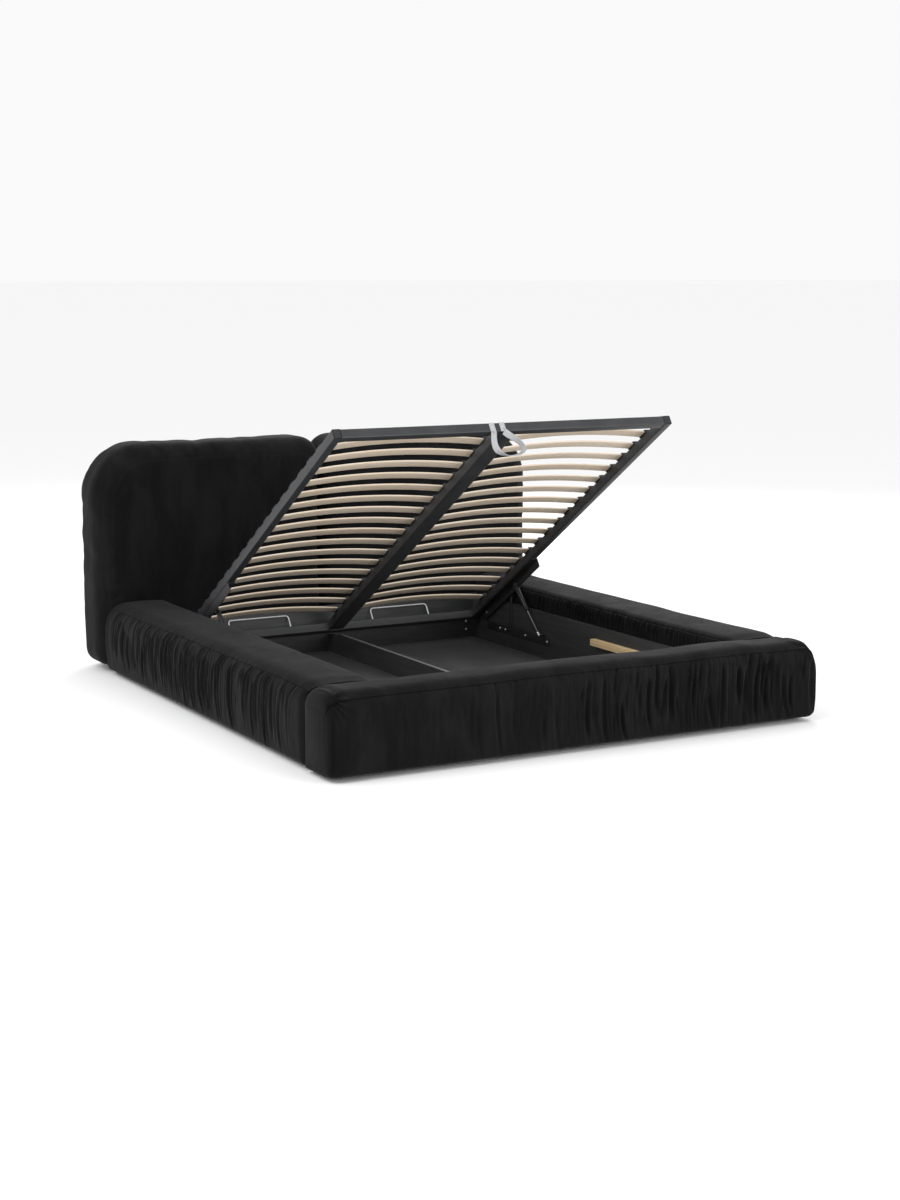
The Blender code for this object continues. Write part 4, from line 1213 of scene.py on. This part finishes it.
hang = joint("strap_swing")["pos_m"]
anchor_low, anchor_high = lying("strap_anchor")
anchor_x = (anchor_low.x + anchor_high.x) / 2
loop_head = Vector((anchor_x, hang[1], hang[2]))
loop = []
for i in range(LOOP_STEPS + 1):
    share = i / LOOP_STEPS
    swing = math.sin(math.pi * share)
    spot = Vector((-STRAP_SPREAD * math.cos(math.pi * share) + STRAP_LEAN * share ** 2 * swing, 0,
                   -STRAP_DROP * max(swing, 0.0) ** 0.8))
    twist = STRAP_TWIST * math.sin(math.pi * share ** 1.5)
    loop.append((loop_head + spot, Vector((math.cos(twist), -math.sin(twist), 0))))
framed = []
for i, (spot, side) in enumerate(loop):
    run = (loop[min(i + 1, LOOP_STEPS)][0] - loop[max(i - 1, 0)][0]).normalized()
    framed.append((spot, (side - run * side.dot(run)).normalized()))
ribbon(framed, "pull_strap_loop", "strap", ["pull_strap"])

for side, name in ((-1, "left"), (1, "right")):
    x = anchor_x + side * STRAP_SPREAD
    heights = [anchor_low.z + (anchor_high.z - anchor_low.z) * i / TAIL_STEPS for i in range(TAIL_STEPS + 1)]
    tail = [(LIFT @ Vector((x, anchor_low.y, height)), Vector((1, 0, 0))) for height in heights]
    ribbon(tail, f"pull_strap_tail_{name}", "platform", ["strap_anchor"])
rivets = [(screw_head(0.0050, 0.0018), facing((anchor_x + side * STRAP_SPREAD, anchor_low.y - 0.001,
                                              (anchor_low.z + anchor_high.z) / 2), (0, -1, 0)))
          for side in (-1, 1)]
lifted_piece("pull_strap_rivets", gathered_mesh(rivets), ZINC)


# ---- lift hinges and gas struts ------------------------------------------------------------------
# On each side: a pressed base plate bolted to the box, an angle bracket screwed under the side
# tube, a riveted pivot pin between them, and a gas strut with its cylinder up and its rod down.
PLATE_ROUND = 0.0008
PLATE_FACE = 0.0045          # of the base plate, out from the box panel
BOLT_RADIUS = 0.0072
BOLT_RISE = 0.0040
BOLT_HEIGHT = 0.020          # above the base plate's lower edge
BOLT_INSET = 0.018           # of the first bolt, from the plate's near end
BOLTS_TO_PIVOT = (0.352, 0.162, 0.112)
HEAD_BOLT_X = 0.765
HEAD_BOLT_HEIGHTS = (0.10, 0.06)
STRUT_RADIUS = 0.011
ROD_RADIUS = 0.005
EYE_RADIUS = 0.008
BORE_GAP = 0.0005            # between the rod and the cylinder's bore
BORE_SPARE = 0.003           # of the bore past the rod's end when the strut is shut

HINGE_BLACK = powder_material("black_powder_coat", (0.010, 0.010, 0.011), (0.017, 0.017, 0.018))
shade = Shade("black_strut_paint", Specular_IOR_Level=0.35)
cloud = shade.grain(35.0, 3.0)
tone = shade.between(cloud, (0.008, 0.008, 0.008), (0.016, 0.016, 0.017))
STRUT_PAINT = shade.finish(tone, 0.24 + cloud * 0.2, shade.grain(380.0, 2.0), 0.00008)
ROD = metal_material("dark_chromed_rod", (0.13, 0.13, 0.14), (0.24, 0.24, 0.25), 0.14)


def softened(node):
    """A CAD node's shape with its loose triangles merged and its sharp edges rounded."""
    bm = bmesh.new()
    bm.from_mesh(frame["nodes"][node].data)
    bmesh.ops.remove_doubles(bm, verts=bm.verts, dist=1e-6)
    bmesh.ops.dissolve_limit(bm, angle_limit=math.radians(1), verts=bm.verts, edges=bm.edges)
    sharp = [edge for edge in bm.edges if edge.is_manifold and edge.calc_face_angle() > math.radians(50)]
    round_edges(bm, sharp, PLATE_ROUND, 2, clamp_overlap=True)
    return bm


def reach(node, stand):
    """How far along a strut's own axis a node starts and ends."""
    along = [(stand.inverted() @ vert.co).z for vert in frame["nodes"][node].data.vertices]
    return min(along), max(along)


tilt_place = joint("strut_tilt")["pos_m"]
stroke_joint = joint("strut_stroke")
strut_run = Vector(stroke_joint["axis"])
rod_travel = max(abs(limit) for limit in stroke_joint["range_m"])
for side, name in ((-1, "left"), (1, "right")):
    for node, shape, body in (("hinge_base", "plate", "root"), ("hinge_bracket", "angle", "platform")):
        new_piece(f"{node}_{name}_{shape}", softened(f"{node}_{name}"), HINGE_BLACK, body,
                  [f"{node}_{name}"])
    base_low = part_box(f"hinge_base_{name}")[0]
    pin_low, pin_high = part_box(f"pivot_pin_{name}")
    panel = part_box(f"box_side_panel_{name}")
    plate_face = side * (min(abs(panel[0].x), abs(panel[1].x)) - PLATE_FACE)
    # bolts through the base plate, and through the head panel beside it
    bolt_ys = [base_low.y + BOLT_INSET] + [PIVOT.y - gap for gap in BOLTS_TO_PIVOT]
    bolts = [(screw_head(BOLT_RADIUS, BOLT_RISE, 24),
              facing((plate_face, y, base_low.z + BOLT_HEIGHT), (-side, 0, 0))) for y in bolt_ys]
    head_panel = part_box("box_head_panel")[0].y
    bolts += [(screw_head(BOLT_RADIUS * 0.9, BOLT_RISE, 24),
               facing((side * HEAD_BOLT_X, head_panel, z), (0, -1, 0))) for z in HEAD_BOLT_HEIGHTS]
    new_piece(f"hinge_bolts_{name}", gathered_mesh(bolts), ZINC, "root")
    # pivot pin with a peened head
    pin_radius = (pin_high.z - pin_low.z) / 2
    pin_length = pin_high.x - pin_low.x
    inner = pin_low.x if side > 0 else pin_high.x
    head = pin_radius * 1.6
    pin = turned_piece([(0, -0.0030), (pin_radius * 1.2, -0.0026), (head, -0.0008), (head, 0),
                        (pin_radius, 0), (pin_radius, pin_length), (0, pin_length)], 28)
    stand = facing((inner, PIVOT.y, PIVOT.z), (side, 0, 0))
    new_piece(f"pivot_pin_{name}_rivet", placed(pin, stand), ZINC, "root",
              [f"pivot_pin_{name}"])
    # gas strut, made along Z from the middle of its lower eye
    rod_low, rod_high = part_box(f"strut_rod_{name}")
    cylinder_low, cylinder_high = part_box(f"strut_cylinder_{name}")
    foot = Vector(((rod_low.x + rod_high.x) / 2, tilt_place[1], tilt_place[2]))
    stand = facing(foot, strut_run)
    start, cylinder_end = reach(f"strut_cylinder_{name}", stand)
    total = cylinder_end - EYE_RADIUS
    rod_end = reach(f"strut_rod_{name}", stand)[1]
    half_eye, neck, shank = EYE_RADIUS * 0.5, ROD_RADIUS * 0.92, ROD_RADIUS * 0.86
    rod = turned_piece([(0, half_eye), (neck, half_eye), (neck, 0.016), (shank, 0.018), (shank, rod_end),
                        (0, rod_end)], 24)
    ball = [(EYE_RADIUS * math.cos(t), EYE_RADIUS * math.sin(t)) for t in np.linspace(-1.2, 1.2, 9)[1:-1]]
    collar = ROD_RADIUS * 1.25
    socket = turned_piece([(0, -EYE_RADIUS * 0.95)] + ball + [(collar, EYE_RADIUS), (collar, 0.0145),
                                                              (0, 0.0145)], 28)
    new_piece(f"strut_rod_{name}_bar", placed(rod, stand), ROD, "strut_rods",
              [f"strut_rod_{name}"])
    new_piece(f"strut_lower_socket_{name}", placed(socket, stand), ZINC, "strut_rods",
              [f"strut_rod_{name}"])
    end = total - half_eye
    wide, stub = STRUT_RADIUS, STRUT_RADIUS * 0.45
    bore, bore_end = ROD_RADIUS + BORE_GAP, rod_end + rod_travel + BORE_SPARE
    shell = turned_piece([(0, bore_end), (bore, bore_end), (bore, start), (wide - 0.0016, start),
                          (wide, start + 0.0016), (wide, start + 0.006), (wide - 0.0008, start + 0.0075),
                          (wide, start + 0.009), (wide, end - 0.010), (wide * 0.72, end - 0.004),
                          (stub, end - 0.002), (stub, end), (0, end)])
    new_piece(f"strut_cylinder_{name}_shell", placed(shell, stand), STRUT_PAINT, "strut_cylinders",
              [f"strut_cylinder_{name}"])
    top = foot + strut_run * total
    eye_start = cylinder_low.x if side < 0 else cylinder_high.x
    far = abs(eye_start - foot.x) + 0.005
    rim = EYE_RADIUS - 0.001
    barrel = turned_piece([(0, 0), (rim, 0), (EYE_RADIUS, 0.001), (EYE_RADIUS, far - 0.001), (rim, far),
                           (0, far)], 28)
    stand = facing((foot.x - side * 0.005, top.y, top.z), (side, 0, 0))
    new_piece(f"strut_upper_eye_{name}", placed(barrel, stand), PLASTIC, "strut_cylinders",
              [f"strut_cylinder_{name}"])
